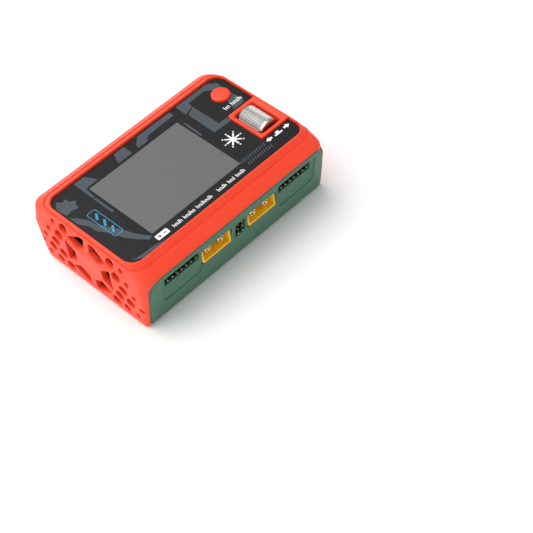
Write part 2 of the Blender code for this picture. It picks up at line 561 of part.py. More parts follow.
def balance_header(name, x):
    """A seven-pin balance header: its housing, and its row of pins joined by the strip behind them."""
    opening = (BALANCE_OPENING_X, BALANCE_OPENING_Z)
    body_x, body_top = BALANCE_OPENING_X + 0.9 * MM, BALANCE_Z + 2.9 * MM
    housing = header_housing(f"{name}_housing", (x, BALANCE_Z), opening, body_x, body_top)
    tip_y, back_y = -half_depth_at(BALANCE_Z) + PIN_SET_BACK, HEADER_BACK_Y
    span = (BALANCE_PINS - 1) * BALANCE_PITCH + PIN_SIZE
    cut(housing, box(f"{name}_slot", (span + 2 * GAP, 8 * MM, PIN_SIZE + 2 * GAP), (x, back_y, BALANCE_Z)))
    strip_y, end_y = back_y - 1.5 * MM, back_y + 1 * MM
    low_z = BALANCE_Z - PIN_SIZE / 2
    outline = [(x + span / 2, end_y), (x - span / 2, end_y)]
    for pin in range(BALANCE_PINS):
        pin_x = x - span / 2 + PIN_SIZE / 2 + pin * BALANCE_PITCH
        left, right = pin_x - PIN_SIZE / 2, pin_x + PIN_SIZE / 2
        outline += [(left, strip_y), (left, tip_y), (right, tip_y), (right, strip_y)]
    corners = [outline[0], outline[1]] + outline[3:-1]
    prism(f"{name}_pins", [[Vector((a, b, low_z)) for a, b in corners]], (0, 0, PIN_SIZE), "gold")


def signal_header():
    """The two-by-three signal header between the outputs."""
    place, opening = (SIGNAL_X, SIGNAL_Z), (SIGNAL_OPENING_X, SIGNAL_OPENING_Z)
    body_x, body_top = SIGNAL_OPENING_X + 1.5 * MM, SIGNAL_Z + 4.6 * MM
    housing = header_housing("signal_header_housing", place, opening, body_x, body_top)
    tip_y, back_y = -half_depth_at(SIGNAL_Z) + PIN_SET_BACK, HEADER_BACK_Y
    size_x, size_z = SIGNAL_PITCH + PIN_SIZE, 2 * SIGNAL_PITCH + PIN_SIZE
    slot = (size_x + 2 * GAP, 8 * MM, size_z + 2 * GAP)
    cut(housing, box("signal_slot", slot, (SIGNAL_X, back_y, SIGNAL_Z)))
    block_low = back_y - 1.5 * MM
    pins = span_box(
        "signal_header_pins",
        (SIGNAL_X - size_x / 2, SIGNAL_X + size_x / 2),
        (block_low, back_y + 1 * MM),
        (SIGNAL_Z - size_z / 2, SIGNAL_Z + size_z / 2),
        "gold",
    )
    for column in (-0.5, 0.5):
        for row in (-1, 0, 1):
            place = (SIGNAL_X + column * SIGNAL_PITCH, (tip_y + block_low) / 2, SIGNAL_Z + row * SIGNAL_PITCH)
            size = (PIN_SIZE - 0.01 * MM, block_low - tip_y + 0.6 * MM, PIN_SIZE - 0.01 * MM)
            join(pins, box(f"signal_pin_{column}_{row}", size, place))


def usb_socket():
    """A USB-A socket in the back face: its steel shell, and the tongue inside it."""
    front_y = half_depth_at(ON_MAIN_BOARD_Z + USB_SIZE_Z / 2) - 0.3 * MM
    middle = (USB_X, front_y - USB_LENGTH / 2, ON_MAIN_BOARD_Z + USB_SIZE_Z / 2)
    wall = 0.4 * MM
    shell = box("usb_shell", (USB_SIZE_X, USB_LENGTH, USB_SIZE_Z), middle, "steel")
    well = (USB_SIZE_X - 2 * wall, USB_LENGTH, USB_SIZE_Z - 2 * wall)
    cut(shell, box("usb_well", well, (USB_X, middle[1] + wall, middle[2])))
    block_y = front_y - USB_LENGTH + 2 * wall + GAP
    inset = wall + GAP
    tongue = span_box(
        "usb_tongue",
        (USB_X - USB_SIZE_X / 2 + inset, USB_X + USB_SIZE_X / 2 - inset),
        (block_y, block_y + 3 * MM),
        (middle[2] - USB_SIZE_Z / 2 + inset, middle[2] + USB_SIZE_Z / 2 - inset),
        "black_plastic",
    )
    blade = (11 * MM, 10 * MM, 1.8 * MM)
    join(tongue, box("usb_blade", blade, (USB_X, block_y + 6 * MM, middle[2] + 0.9 * MM)))


def fan():
    """The fan behind the left end: frame with struts, axle, and rotor."""
    centre = Vector((FAN_X, 0, FAN_Z))
    frame = box("fan_frame", (FAN_DEPTH, FAN_SIZE, FAN_SIZE), centre, "black_plastic", 1.5 * MM, 0, 2)
    cut(frame, rod("fan_bore", FAN_BORE_RADIUS, 2 * FAN_DEPTH, centre, axis="X", sides=32))
    strut_x = FAN_X + FAN_DEPTH / 2 - 0.7 * MM
    for step in range(2):
        strut = box(f"fan_strut_{step}", (1.4 * MM, FAN_SIZE - 1 * MM, 1.6 * MM), (strut_x, 0, FAN_Z))
        strut.rotation_euler.x = math.pi / 4 + step * math.pi / 2
        join(frame, strut)
    join(frame, rod("fan_bearing", 3.5 * MM, 1.4 * MM, (strut_x, 0, FAN_Z), axis="X", sides=16))
    cut(frame, rod("fan_axle_hole", 0.75 * MM + GAP, FAN_DEPTH, (strut_x, 0, FAN_Z), axis="X", sides=12))
    axle_x = (FAN_X - 2 * MM, FAN_X + FAN_DEPTH / 2)
    rod("fan_axle", 0.75 * MM, axle_x[1] - axle_x[0], (sum(axle_x) / 2, 0, FAN_Z), "steel", "X", 12)

    rotor_depth = 7.2 * MM
    rotor_x = FAN_X - 1.0 * MM
    rotor = rod("fan_rotor", FAN_HUB_RADIUS, rotor_depth, (rotor_x, 0, FAN_Z), "black_plastic", "X", 24)
    root, tip = FAN_HUB_RADIUS - 0.6 * MM, FAN_BORE_RADIUS - 0.8 * MM
    for number in range(FAN_BLADES):
        angle = number * 2 * math.pi / FAN_BLADES
        offset = Matrix.Rotation(angle, 3, "X") @ Vector((0, 0, (root + tip) / 2))
        place = Vector((rotor_x, 0, FAN_Z)) + offset
        blade = box(f"fan_blade_{number}", (0.9 * MM, 6 * MM, tip - root), place)
        blade.rotation_mode = "ZYX"
        blade.rotation_euler = (angle, 0, BLADE_TILT)
        join(rotor, blade)
    hole_centre = (FAN_X + 0.2 * MM, 0, FAN_Z)
    cut(rotor, rod("rotor_axle_hole", 0.75 * MM + GAP, rotor_depth, hole_centre, axis="X", sides=12))


def power_parts():
    """What the main board carries: heat sink, chokes, capacitors, chip and buzzer."""
    span = (FINS - 1) * FIN_PITCH + FIN_THICKNESS
    outline = [(span / 2, 0), (-span / 2, 0)]
    for fin in range(FINS):
        left = -span / 2 + fin * FIN_PITCH
        right = left + FIN_THICKNESS
        outline += [(left, SINK_BASE), (left, SINK_HEIGHT), (right, SINK_HEIGHT), (right, SINK_BASE)]
    corners = outline[:2] + outline[3:-1]
    points = [Vector((SINK_X, y, ON_MAIN_BOARD_Z + z)) for y, z in corners]
    prism("heat_sink", [points], (SINK_LENGTH, 0, 0), "aluminium")
    size = (CHOKE_SIZE, CHOKE_SIZE, CHOKE_HEIGHT)
    for name, y in CHOKE_Y.items():
        place = (CHOKE_X, y, ON_MAIN_BOARD_Z + CHOKE_HEIGHT / 2)
        box(f"choke_{name}", size, place, "black_plastic", 1.5 * MM)
    for name, x in CAPACITOR_X.items():
        place = (x, CAPACITOR_Y, ON_MAIN_BOARD_Z + CAPACITOR_HEIGHT / 2)
        rod(f"capacitor_{name}", CAPACITOR_RADIUS, CAPACITOR_HEIGHT, place, "aluminium")
    buzzer_z = ON_MAIN_BOARD_Z + BUZZER_HEIGHT / 2
    rod("buzzer", BUZZER_RADIUS, BUZZER_HEIGHT, (*BUZZER_PLACE, buzzer_z), "black_plastic")
    box("control_chip", CHIP_SIZE, (*CHIP_PLACE, ON_MAIN_BOARD_Z + CHIP_SIZE[2] / 2), "black_plastic")


def scroll_wheel():
    """The wheel, its axle, the cradle that it is pressed down with, the guide round that, and the switch."""
    centre = Vector((WHEEL_X, WHEEL_Y, WHEEL_Z))
    arm = 0.8 * MM
    cradle_length = WHEEL_LENGTH + 2 * GAP + 2 * arm
    wheel = rod("scroll_wheel", WHEEL_RADIUS, WHEEL_LENGTH, centre, "steel", "Y", 36)
    edges = wheel.modifiers.new("soft_ends", "BEVEL")
    edges.width = 0.4 * MM
    edges.segments = 1
    edges.limit_method = "ANGLE"
    cut(wheel, rod("wheel_bore", AXLE_RADIUS + GAP, 2 * WHEEL_LENGTH, centre, axis="Y", sides=16))
    rod("wheel_axle", AXLE_RADIUS, cradle_length, centre, "steel", "Y", 16)

    half_x, half_y = 3.6 * MM, cradle_length / 2
    x = (WHEEL_X - half_x, WHEEL_X + half_x)
    y = (WHEEL_Y - half_y, WHEEL_Y + half_y)
    base_low = WHEEL_Z - WHEEL_RADIUS - 1.9 * MM
    cradle = span_box("wheel_cradle", x, y, (base_low, base_low + 1.2 * MM), "black_plastic")
    arm_top = WHEEL_Z + 1.9 * MM
    for side in (-1, 1):
        place = (WHEEL_X, WHEEL_Y + side * (half_y - arm / 2), (base_low + arm_top) / 2)
        join(cradle, box(f"cradle_arm_{side}", (2 * half_x, arm, arm_top - base_low), place))
    cut(cradle, rod("cradle_bore", AXLE_RADIUS + GAP, 2 * cradle_length, centre, axis="Y", sides=16))

    guide_top = base_low + 0.9 * MM
    channel_half_x = half_x + GAP
    guide_half_x = channel_half_x + 1.0 * MM
    x = (WHEEL_X - guide_half_x, WHEEL_X + guide_half_x)
    guide = span_box("wheel_guide", x, y, (ON_UI_BOARD_Z, guide_top), "black_plastic")
    x = (WHEEL_X - channel_half_x, WHEEL_X + channel_half_x)
    y = (WHEEL_Y - cradle_length, WHEEL_Y + cradle_length)
    cut(guide, span_box("guide_channel", x, y, (ON_UI_BOARD_Z + 0.8 * MM, guide_top + 1 * MM)))
    cut(guide, box("guide_window", (6.6 * MM, 6.6 * MM, 10 * MM), (WHEEL_X, WHEEL_Y, ON_UI_BOARD_Z)))
    tact_switch("wheel_switch", WHEEL_X, WHEEL_Y, base_low - WHEEL_TRAVEL - 0.15 * MM)


def tact_switch(name, x, y, plunger_top):
    """A tact switch on the small board: a square body with a round plunger."""
    size = (6 * MM, 6 * MM, 2.4 * MM)
    switch = box(name, size, (x, y, ON_UI_BOARD_Z + size[2] / 2), "black_plastic")
    low_z = ON_UI_BOARD_Z + 1 * MM
    centre = (x, y, (plunger_top + low_z) / 2)
    join(switch, rod(f"{name}_plunger", 1.6 * MM, plunger_top - low_z, centre, sides=12))


def exit_button():
    """The round exit button: a domed cap, a flange that stops it under the top, and a stem."""
    flange_z = (CEILING_Z - 1.3 * MM, CEILING_Z - GAP)
    stem_low = 23.2 * MM
    profile = [
        (0, BUTTON_TOP_Z),
        (BUTTON_RADIUS * 0.55, BUTTON_TOP_Z - 0.12 * MM),
        (BUTTON_RADIUS * 0.85, BUTTON_TOP_Z - 0.4 * MM),
        (BUTTON_RADIUS, BUTTON_TOP_Z - 0.9 * MM),
        (BUTTON_RADIUS, flange_z[1]),
        (BUTTON_RADIUS + 1.0 * MM, flange_z[1]),
        (BUTTON_RADIUS + 1.0 * MM, flange_z[0]),
        (1.5 * MM, flange_z[0]),
        (1.5 * MM, stem_low),
        (0, stem_low),
    ]
    bm = bmesh.new()
    points = [bm.verts.new((radius, 0, z)) for radius, z in profile]
    for upper, lower in zip(points, points[1:]):
        bm.edges.new((upper, lower))
    mesh = bpy.data.meshes.new("exit_button")
    bm.to_mesh(mesh)
    bm.free()
    mesh.materials.append(bpy.data.materials["red_plastic"])
    button = bpy.data.objects.new("exit_button", mesh)
    button.location = (BUTTON_X, BUTTON_Y, 0)
    PARTS.objects.link(button)
    turned = button.modifiers.new("turned", "SCREW")
    turned.steps = 28
    turned.render_steps = 28
    turned.use_merge_vertices = True
    turned.merge_threshold = 0.00001
    tact_switch("exit_switch", BUTTON_X, BUTTON_Y, stem_low - 0.65 * MM)


def fasteners():
    """Four case screws, driven from below, and four rubber feet."""
    low_z, head_height, length = BOTTOM_Z + 0.4 * MM, 1.5 * MM, 18.5 * MM
    for name, (x, y) in corner_places(SCREW_X, SCREW_Y).items():
        head_centre = (x, y, low_z + head_height / 2)
        shank_centre = (x, y, low_z + (0.5 * MM + length) / 2)
        screw = rod(f"case_screw_{name}", 2.2 * MM, head_height, head_centre, "steel", sides=16)
        join(screw, rod(f"screw_shank_{name}", 1.2 * MM, length - 0.5 * MM, shank_centre, sides=12))
        cut(screw, rod(f"screw_socket_{name}", 0.9 * MM, 1.4 * MM, (x, y, low_z), sides=6))
    for name, (x, y) in corner_places(FOOT_X, FOOT_Y).items():
        height = BOTTOM_Z + 0.5 * MM
        rod(f"foot_{name}", FOOT_RADIUS, height, (x, y, height / 2), "rubber", sides=20)


clear_scene()
PARTS = make_collection("balance_battery_charger", False)
CUTTERS = make_collection("cutters", True)
make_looks()
top_shell()
bottom_shell()
top_film()
display()
boards()
for side_name, side in (("left", -1), ("right", 1)):
    xt60(f"output_{side_name}", CONNECTORS_X + side * XT60_OUTPUT_X, -1)
xt60("input", 0, 1)
balance_header("balance_left", CONNECTORS_X - BALANCE_X)
balance_header("balance_right", CONNECTORS_X + BALANCE_X)
signal_header()
usb_socket()
fan()
power_parts()
scroll_wheel()
exit_button()
fasteners()
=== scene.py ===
"""Looks of the balance battery charger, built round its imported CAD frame.

Shapes are modelled in millimetres, in the CAD frame, and new_piece() scales them to metres.
+X runs along the long side, the connector face looks towards -Y, and z = 0 is the table.
"""

import json
import math

import bmesh
import bpy
from mathutils import Matrix, Vector


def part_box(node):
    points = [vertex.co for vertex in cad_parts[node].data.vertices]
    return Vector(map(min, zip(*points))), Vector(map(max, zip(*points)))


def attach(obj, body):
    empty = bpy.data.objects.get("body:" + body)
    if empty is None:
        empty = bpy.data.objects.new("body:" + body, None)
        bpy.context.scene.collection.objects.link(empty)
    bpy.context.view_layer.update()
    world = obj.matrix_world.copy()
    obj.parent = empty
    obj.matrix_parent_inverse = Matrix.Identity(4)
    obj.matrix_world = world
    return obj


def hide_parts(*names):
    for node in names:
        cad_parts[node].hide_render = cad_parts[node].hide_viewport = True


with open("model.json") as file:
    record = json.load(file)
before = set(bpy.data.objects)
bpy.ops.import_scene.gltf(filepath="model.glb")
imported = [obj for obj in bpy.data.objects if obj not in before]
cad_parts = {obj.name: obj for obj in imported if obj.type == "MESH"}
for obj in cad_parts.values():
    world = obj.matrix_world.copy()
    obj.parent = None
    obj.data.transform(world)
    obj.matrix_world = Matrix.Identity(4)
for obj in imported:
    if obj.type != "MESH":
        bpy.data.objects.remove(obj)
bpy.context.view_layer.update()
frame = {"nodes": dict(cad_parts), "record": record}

MM = 0.001
SMOOTH_ANGLE = math.radians(34)
CORNER_STEPS = 14
CORNERS = ((-1, -1), (-1, 1), (1, -1), (1, 1))
CORNER_NAMES = ("front_left", "front_right", "back_left", "back_right")


def span(node):
    """Lowest and highest corner of a CAD node, in millimetres."""
    low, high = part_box(node)
    return low / MM, high / MM


CASE_LOW, CASE_HIGH = span("top_shell")
FILM_LOW, FILM_HIGH = span("top_film")
BUTTON_LOW, BUTTON_HIGH = span("exit_button")
WHEEL_LOW, WHEEL_HIGH = span("scroll_wheel")

# Case. The long faces lean in towards the bottom, and the ends are widest at their waist.
HALF_LENGTH, HALF_DEPTH = CASE_HIGH.x, CASE_HIGH.y
HALF_LENGTH_BASE, HOLLOW_HALF_LENGTH = HALF_LENGTH - 0.6, 48.7
BOTTOM_Z, RIM_Z = CASE_LOW.z, CASE_HIGH.z
BASE_Z, WAIST_Z, SHOULDER_Z, FACE_LEAN = BOTTOM_Z + 0.6, 21.0, 27.6, 0.16
KNEE_Z = SHOULDER_Z - 0.6
WALL, FLOOR_Z, CEILING_Z = 2.1, 3.0, 28.9
SLIT = 0.25

# Film, its recess, and the display behind it.
FILM_HALF_X, FILM_HALF_Y, FILM_CORNER = -FILM_LOW.x, FILM_HIGH.y, 5.2
FILM_TOP_Z, RECESS_Z = FILM_HIGH.z, FILM_LOW.z - 0.3
SCREEN_X, SCREEN_Y, SCREEN_SIZE_X, SCREEN_SIZE_Y = -7.0, -0.3, 48.9, 37.3

# Arch in the long faces, and the green face in it. Its bevel is given as (out, drop), and its
# columns as shares of the arch's half width, close together where the case's corners turn.
ARCH_X, ARCH_HALF_WIDTH, ARCH_TOP_Z, ARCH_CORNER = 0.75, 49.55, 27.45, 6.5
BEVEL = ((0.0, 0.0), (0.2, 0.02), (0.4, 0.1), (1.25, 0.72), (1.4, 1.0))
HALF_COLUMNS = (0.5, 0.88, 0.91, 0.94, 0.965, 0.985, 1.0)
FACE_COLUMNS = (*(-share for share in reversed(HALF_COLUMNS)), 0.0, *HALF_COLUMNS)

# Scroll wheel and the window round it.
WHEEL = (WHEEL_LOW + WHEEL_HIGH) / 2
WHEEL_RADIUS, WHEEL_LENGTH = (WHEEL_HIGH.x - WHEEL_LOW.x) / 2, WHEEL_HIGH.y - WHEEL_LOW.y
WHEEL_BORE_RADIUS = 1.3
WINDOW_SIZE_X, WINDOW_SIZE_Y, FRAME_WALL = 11.0, 15.9, 1.7

# Exit button, and how much wider its flange and its hole are than its cap.
BUTTON_FLANGE, BUTTON_GAP = 1.0, 0.3
BUTTON_X, BUTTON_Y = (BUTTON_LOW.x + BUTTON_HIGH.x) / 2, (BUTTON_LOW.y + BUTTON_HIGH.y) / 2
BUTTON_RADIUS = (BUTTON_HIGH.x - BUTTON_LOW.x) / 2 - BUTTON_FLANGE

# Air openings in the ends: six round a hub, and staggered rows of hexagons either side of them.
VENT_Z, VENT_PITCH, VENT_FIRST_Y = 16.6, 6.3, 20.17
VENT_ROW_PITCH = VENT_PITCH * math.sqrt(3) / 2
VENT_RING_INNER, VENT_RING_OUTER, VENT_SPOKE = 7.7, 13.3, 3.0
VENT_TOP_Z, VENT_LOW_Z = 29.6, 3.6
VENT_RING_CORNER, HEXAGON_CORNER_SHARE = 0.45, 0.3
VENT_RADII = {"large": 2.65, "medium": 2.1, "small": 1.45}
VENT_ROWS = {
    2: ("large", "small"),
    1: ("large", "small"),
    0: ("large", "small"),
    -1: ("large", "large", "small"),
    -2: ("large", "medium", "small"),
}

# How far out an opening may reach on the left and the right end. The right end's red band is too
# thin at its corners for the outermost ones.
VENT_REACH_Y = {-1: 35.0, 1: 30.0}

# Connectors. The outputs and balance headers stand either side of CONNECTORS_X.
CONNECTORS_X = 0.6
XT60_X, XT60_Z, XT60_SIZE_X, XT60_SIZE_Z = 12.76, 17.96, 15.9, 8.1
XT60_PIN_SPACING, XT60_PIN_RADIUS, MOUTH_GAP = 7.2, 1.75, 0.5
BALANCE_X, BALANCE_Z, BALANCE_SIZE_X, BALANCE_SIZE_Z = 31.7, 21.25, 18.5, 4.4
BALANCE_PINS, BALANCE_PITCH, PIN_SIZE = 7, 2.5, 0.64
POCKET_LOW_Z, POCKET_HIGH_Z, POCKET_DEPTH = 9.6, 24.6, 0.39
SIGNAL_X, SIGNAL_Z, SIGNAL_SIZE_X, SIGNAL_SIZE_Z, SIGNAL_PITCH = 1.0, 17.6, 5.5, 8.2, 2.54

# Places of the screws and feet, mirrored to all four corners.
SCREW_X, SCREW_Y, FOOT_X, FOOT_Y = 45.3, 23.0, 36.0, 21.0

# Camera: focal length and sensor in millimetres, place in metres, and its turn.
CAMERA_LENS, CAMERA_SENSOR = 99.62, 36.0
CAMERA_PLACE = (-0.2469, -0.3392, 0.4548)
CAMERA_AZIMUTH, CAMERA_ELEVATION, CAMERA_ROLL = math.radians(-40.21), math.radians(49.62), math.radians(-7.5)


# ---- materials

# Change of roughness over the grain, and the sockets of a Mix node set to colours.
GLOSS_CHANGE = 0.06
MIX_FIRST, MIX_SECOND, MIX_RESULT = 6, 7, 2


def shader_node(tree, kind, inputs=None, **settings):
    """A shader node with its inputs linked, if they are sockets, or else set."""
    node = tree.nodes.new(kind)
    for name, value in settings.items():
        setattr(node, name, value)
    for name, value in (inputs or {}).items():
        if isinstance(value, bpy.types.NodeSocket):
            tree.links.new(value, node.inputs[name])
        else:
            node.inputs[name].default_value = value
    return node


def noise(tree, size_mm, detail=3.0, stretch=(1, 1, 1)):
    """Noise whose features are about size_mm across, in the piece's own space."""
    place = shader_node(tree, "ShaderNodeTexCoord").outputs["Object"]
    scale = [factor / (size_mm * MM) for factor in stretch]
    mapped = shader_node(tree, "ShaderNodeMapping", {"Vector": place, "Scale": scale}).outputs["Vector"]
    inputs = {"Vector": mapped, "Scale": 1.0, "Detail": detail, "Roughness": 0.55}
    return shader_node(tree, "ShaderNodeTexNoise", inputs).outputs["Fac"]


def spread(tree, value, low, high):
    """The middle of a noise's range, spread from low to high."""
    inputs = {"Value": value, "From Min": 0.3, "From Max": 0.7, "To Min": low, "To Max": high}
    return shader_node(tree, "ShaderNodeMapRange", inputs).outputs["Result"]


def surface(name, colour, roughness, metallic=0.0, mottle=0.05, patch=9.0, grain=0.18, bump=0.02,
            stretch=(1, 1, 1), shine=0.5):
    """A material with slow colour change, fine grain in its height, and uneven gloss.

    patch and grain are feature sizes in millimetres, and bump is the grain's depth in millimetres.
    """
    look = bpy.data.materials.new(name)
    look.use_nodes = True
    look.diffuse_color = (*colour, 1)
    tree = look.node_tree
    shader = tree.nodes["Principled BSDF"]
    slow = noise(tree, patch, 2.0)
    fine = noise(tree, grain, 2.0, stretch)
    darker = [channel * (1 - mottle) for channel in colour]
    lighter = [min(1.0, channel * (1 + mottle)) for channel in colour]
    mix = shader_node(tree, "ShaderNodeMix", {"Factor": spread(tree, slow, 0.0, 1.0)}, data_type="RGBA")
    mix.inputs[MIX_FIRST].default_value = (*darker, 1)
    mix.inputs[MIX_SECOND].default_value = (*lighter, 1)
    raised = shader_node(tree, "ShaderNodeBump", {"Height": fine, "Distance": bump * MM, "Strength": 1.0})
    shader.inputs["Metallic"].default_value = metallic
    shader.inputs["Specular IOR Level"].default_value = shine
    tree.links.new(mix.outputs[MIX_RESULT], shader.inputs["Base Color"])
    gloss = spread(tree, fine, roughness - GLOSS_CHANGE, roughness + GLOSS_CHANGE)
    tree.links.new(gloss, shader.inputs["Roughness"])
    tree.links.new(raised.outputs["Normal"], shader.inputs["Normal"])
    return look


def board_surface():
    """Green solder mask over a grid of faint copper tracks."""
    mask, light_mask, track = (0.012, 0.085, 0.04), (0.02, 0.13, 0.06), (0.03, 0.19, 0.08)
    look = surface("circuit_board", mask, 0.32, bump=0.004)
    tree = look.node_tree
    shader = tree.nodes["Principled BSDF"]
    place = shader_node(tree, "ShaderNodeTexCoord").outputs["Object"]
    inputs = {
        "Vector": place, "Color1": (*mask, 1), "Color2": (*light_mask, 1), "Mortar": (*track, 1),
        "Scale": 1 / MM, "Mortar Size": 0.04, "Brick Width": 3.5, "Row Height": 1.1,
    }
    tracks = shader_node(tree, "ShaderNodeTexBrick", inputs)
    tree.links.new(tracks.outputs["Color"], shader.inputs["Base Color"])
    return look


# Each surface's colour, roughness and other settings.
SURFACES = {
    "red_plastic": ((0.90, 0.054, 0.016), 0.46, dict(mottle=0.03, grain=0.16, bump=0.006, shine=0.4)),
    "green_plastic": ((0.062, 0.168, 0.108), 0.46, dict(mottle=0.04, bump=0.007, shine=0.35)),
    "film": ((0.015, 0.015, 0.016), 0.5, dict(mottle=0.03, grain=0.12, bump=0.003, shine=0.12)),
    "display_glass": ((0.125, 0.125, 0.127), 0.3, dict(mottle=0.015, bump=0.001, shine=0.2)),
    "yellow_nylon": ((1.0, 0.54, 0.008), 0.36, dict(mottle=0.04, grain=0.3, bump=0.008)),
    "gold": ((0.98, 0.84, 0.60), 0.2, dict(metallic=1.0, mottle=0.06, patch=2.0, grain=0.1, bump=0.003)),
    # black_plastic is black with a slight green tint added as a painted reflection of the green case.
    "black_plastic": ((0.009, 0.011, 0.010), 0.5, dict(mottle=0.2, grain=0.2, bump=0.008, shine=0.25)),
    "steel": ((0.62, 0.62, 0.61), 0.26, dict(metallic=1.0, grain=0.12, bump=0.003, stretch=(1, 6, 1))),
    "aluminium": ((0.78, 0.79, 0.80), 0.32, dict(metallic=1.0, mottle=0.04, grain=0.14, stretch=(6, 1, 1))),
    "wheel_metal": ((0.42, 0.42, 0.41), 0.3, dict(metallic=1.0, patch=3.0, grain=0.1, bump=0.003)),
    "rubber": ((0.022, 0.022, 0.023), 0.82, dict(mottle=0.15, grain=0.25)),
    "flex_film": ((0.38, 0.15, 0.02), 0.3, dict(mottle=0.08, grain=0.4)),
    "print_grey": ((0.066, 0.080, 0.093), 0.5, dict(mottle=0.03, grain=0.12, bump=0.003, shine=0.12)),
    "print_white": ((0.80, 0.80, 0.80), 0.45, dict(mottle=0.02, grain=0.12, bump=0.003)),
    "print_blue": ((0.008, 0.24, 0.40), 0.45, dict(mottle=0.03, grain=0.12, bump=0.003)),
}
LOOKS = {
    name: surface(name, colour, roughness, **settings)
    for name, (colour, roughness, settings) in SURFACES.items()
}
LOOKS["circuit_board"] = board_surface()


# ---- mesh tools

def new_piece(name, bm):
    """An object from a bmesh in millimetres."""
    bmesh.ops.recalc_face_normals(bm, faces=bm.faces)
    bmesh.ops.scale(bm, vec=(MM, MM, MM), verts=bm.verts)
    mesh = bpy.data.meshes.new(name)
    bm.to_mesh(mesh)
    bm.free()
    obj = bpy.data.objects.new(name, mesh)
    bpy.context.scene.collection.objects.link(obj)
    return obj


def add_skin(bm, rings, looped=False):
    """Joins rings of as many points each. The first and last are capped, or joined if looped."""
    rows = [[bm.verts.new(point) for point in ring] for ring in rings]
    pairs = list(zip(rows, rows[1:]))
    if looped:
        pairs.append((rows[-1], rows[0]))
    for low, high in pairs:
        for i in range(len(low)):
            j = (i + 1) % len(low)
            bm.faces.new((low[i], low[j], high[j], high[i]))
    if not looped:
        bm.faces.new(rows[0])
        bm.faces.new(rows[-1])


def skins(name, shapes, looped=False):
    """A piece with one skin for each list of rings."""
    bm = bmesh.new()
    for rings in shapes:
        add_skin(bm, rings, looped)
    return new_piece(name, bm)


def bake(piece):
    """Applies the piece's modifiers."""
    graph = bpy.context.evaluated_depsgraph_get()
    mesh = bpy.data.meshes.new_from_object(piece.evaluated_get(graph))
    piece.modifiers.clear()
    bare = piece.data
    piece.data = mesh
    bpy.data.meshes.remove(bare)
    return piece


def carve(piece, *tools, operation="DIFFERENCE"):
    """Cuts the tools from the piece, or joins them to it, and removes them."""
    for tool in tools:
        modifier = piece.modifiers.new(tool.name, "BOOLEAN")
        modifier.operation = operation
        modifier.object = tool
    bake(piece)
    for tool in tools:
        bpy.data.objects.remove(tool)
    return piece


def finish_piece(piece, look, body="root", replaces=()):
    """Gives a piece its material and shading and its body, and hides the CAD nodes that it stands for."""
    mesh = piece.data
    mesh.materials.clear()
    mesh.materials.append(LOOKS[look])
    mesh.shade_smooth()
    mesh.set_sharp_from_angle(angle=SMOOTH_ANGLE)
    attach(piece, body)
    if replaces:
        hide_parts(*replaces)
    return piece


def outline(corners, radii, grow=0.0, steps=4):
    """A convex outline with round corners, in two dimensions, anticlockwise, pushed out by grow."""
    if isinstance(radii, (int, float)):
        radii = [radii] * len(corners)
    points = []
    for i, corner in enumerate(corners):
        before = (Vector(corner) - Vector(corners[i - 1])).normalized()
        after = (Vector(corners[(i + 1) % len(corners)]) - Vector(corner)).normalized()
        first, last = Vector((before.y, -before.x)), Vector((after.y, -after.x))
        middle = Vector(corner) - (first + last) * (radii[i] / (1 + first.dot(last)))
        turn = first.angle_signed(last)
        for step in range(steps + 1):
            angle = -turn * step / steps
            direction = Matrix.Rotation(angle, 2) @ first
            points.append(middle + direction * (radii[i] + grow))
    return points


def rectangle(x, y, half_x, half_y):
    """Corners of a rectangle round its middle, anticlockwise."""
    left, right, low, high = x - half_x, x + half_x, y - half_y, y + half_y
    return [(left, low), (right, low), (right, high), (left, high)]


def circle(x, y, radius, sides):
    angles = [k * 2 * math.pi / sides for k in range(sides)]
    return [(x + radius * math.cos(a), y + radius * math.sin(a)) for a in angles]


def flat_rings(corners, radii, levels, steps=4):
    """Rings over an outline seen from above, one for each (z, grow)."""
    return [[(p.x, p.y, z) for p in outline(corners, radii, grow, steps)] for z, grow in levels]


def round_rings(x, y, levels, sides):
    """Rings of an upright round shape, one for each (radius, z)."""
    return [[(px, py, z) for px, py in circle(x, y, radius, sides)] for radius, z in levels]


def along_y(corners, places):
    """Rings of a straight bar along Y, from an outline in (x, z)."""
    return [[(x, y, z) for x, z in corners] for y in places]


def turned(name, profile, centre, axis="Z", sides=32, looped=False):
    """A round piece from a profile of (radius, place along the axis)."""
    rings = []
    for radius, along in profile:
        ring = []
        for side in range(sides):
            angle = side * 2 * math.pi / sides
            across = (radius * math.cos(angle), radius * math.sin(angle))
            point = {
                "X": (along, *across),
                "Y": (across[0], along, across[1]),
                "Z": (*across, along),
            }[axis]
            ring.append(Vector(point) + Vector(centre))
        rings.append(ring)
    return skins(name, [rings], looped)


def soft_box(name, corner, opposite, radius=0.0):
    """A box between two opposite corners, with its edges rounded if it has a radius."""
    low = Vector([min(pair) for pair in zip(corner, opposite)])
    high = Vector([max(pair) for pair in zip(corner, opposite)])
    bm = bmesh.new()
    bmesh.ops.create_cube(bm, size=1)
    bmesh.ops.scale(bm, vec=high - low, verts=bm.verts)
    bmesh.ops.translate(bm, vec=(high + low) / 2, verts=bm.verts)
    if radius:
        bmesh.ops.bevel(bm, geom=bm.edges[:], offset=radius, segments=2, profile=0.5, affect="EDGES")
    return new_piece(name, bm)


def soften(rows):
    """Cuts the corners of a run of number rows a quarter of the way in. Its ends stay."""
    finer = [rows[0]]
    for low, high in zip(rows, rows[1:]):
        finer.append(tuple(a * 0.75 + b * 0.25 for a, b in zip(low, high)))
        finer.append(tuple(a * 0.25 + b * 0.75 for a, b in zip(low, high)))
    return finer + [rows[-1]]


# ---- case

def half_depth_at(z):
    """Half the depth of the case across its leaning long faces."""
    return HALF_DEPTH - FACE_LEAN * (SHOULDER_Z - z)


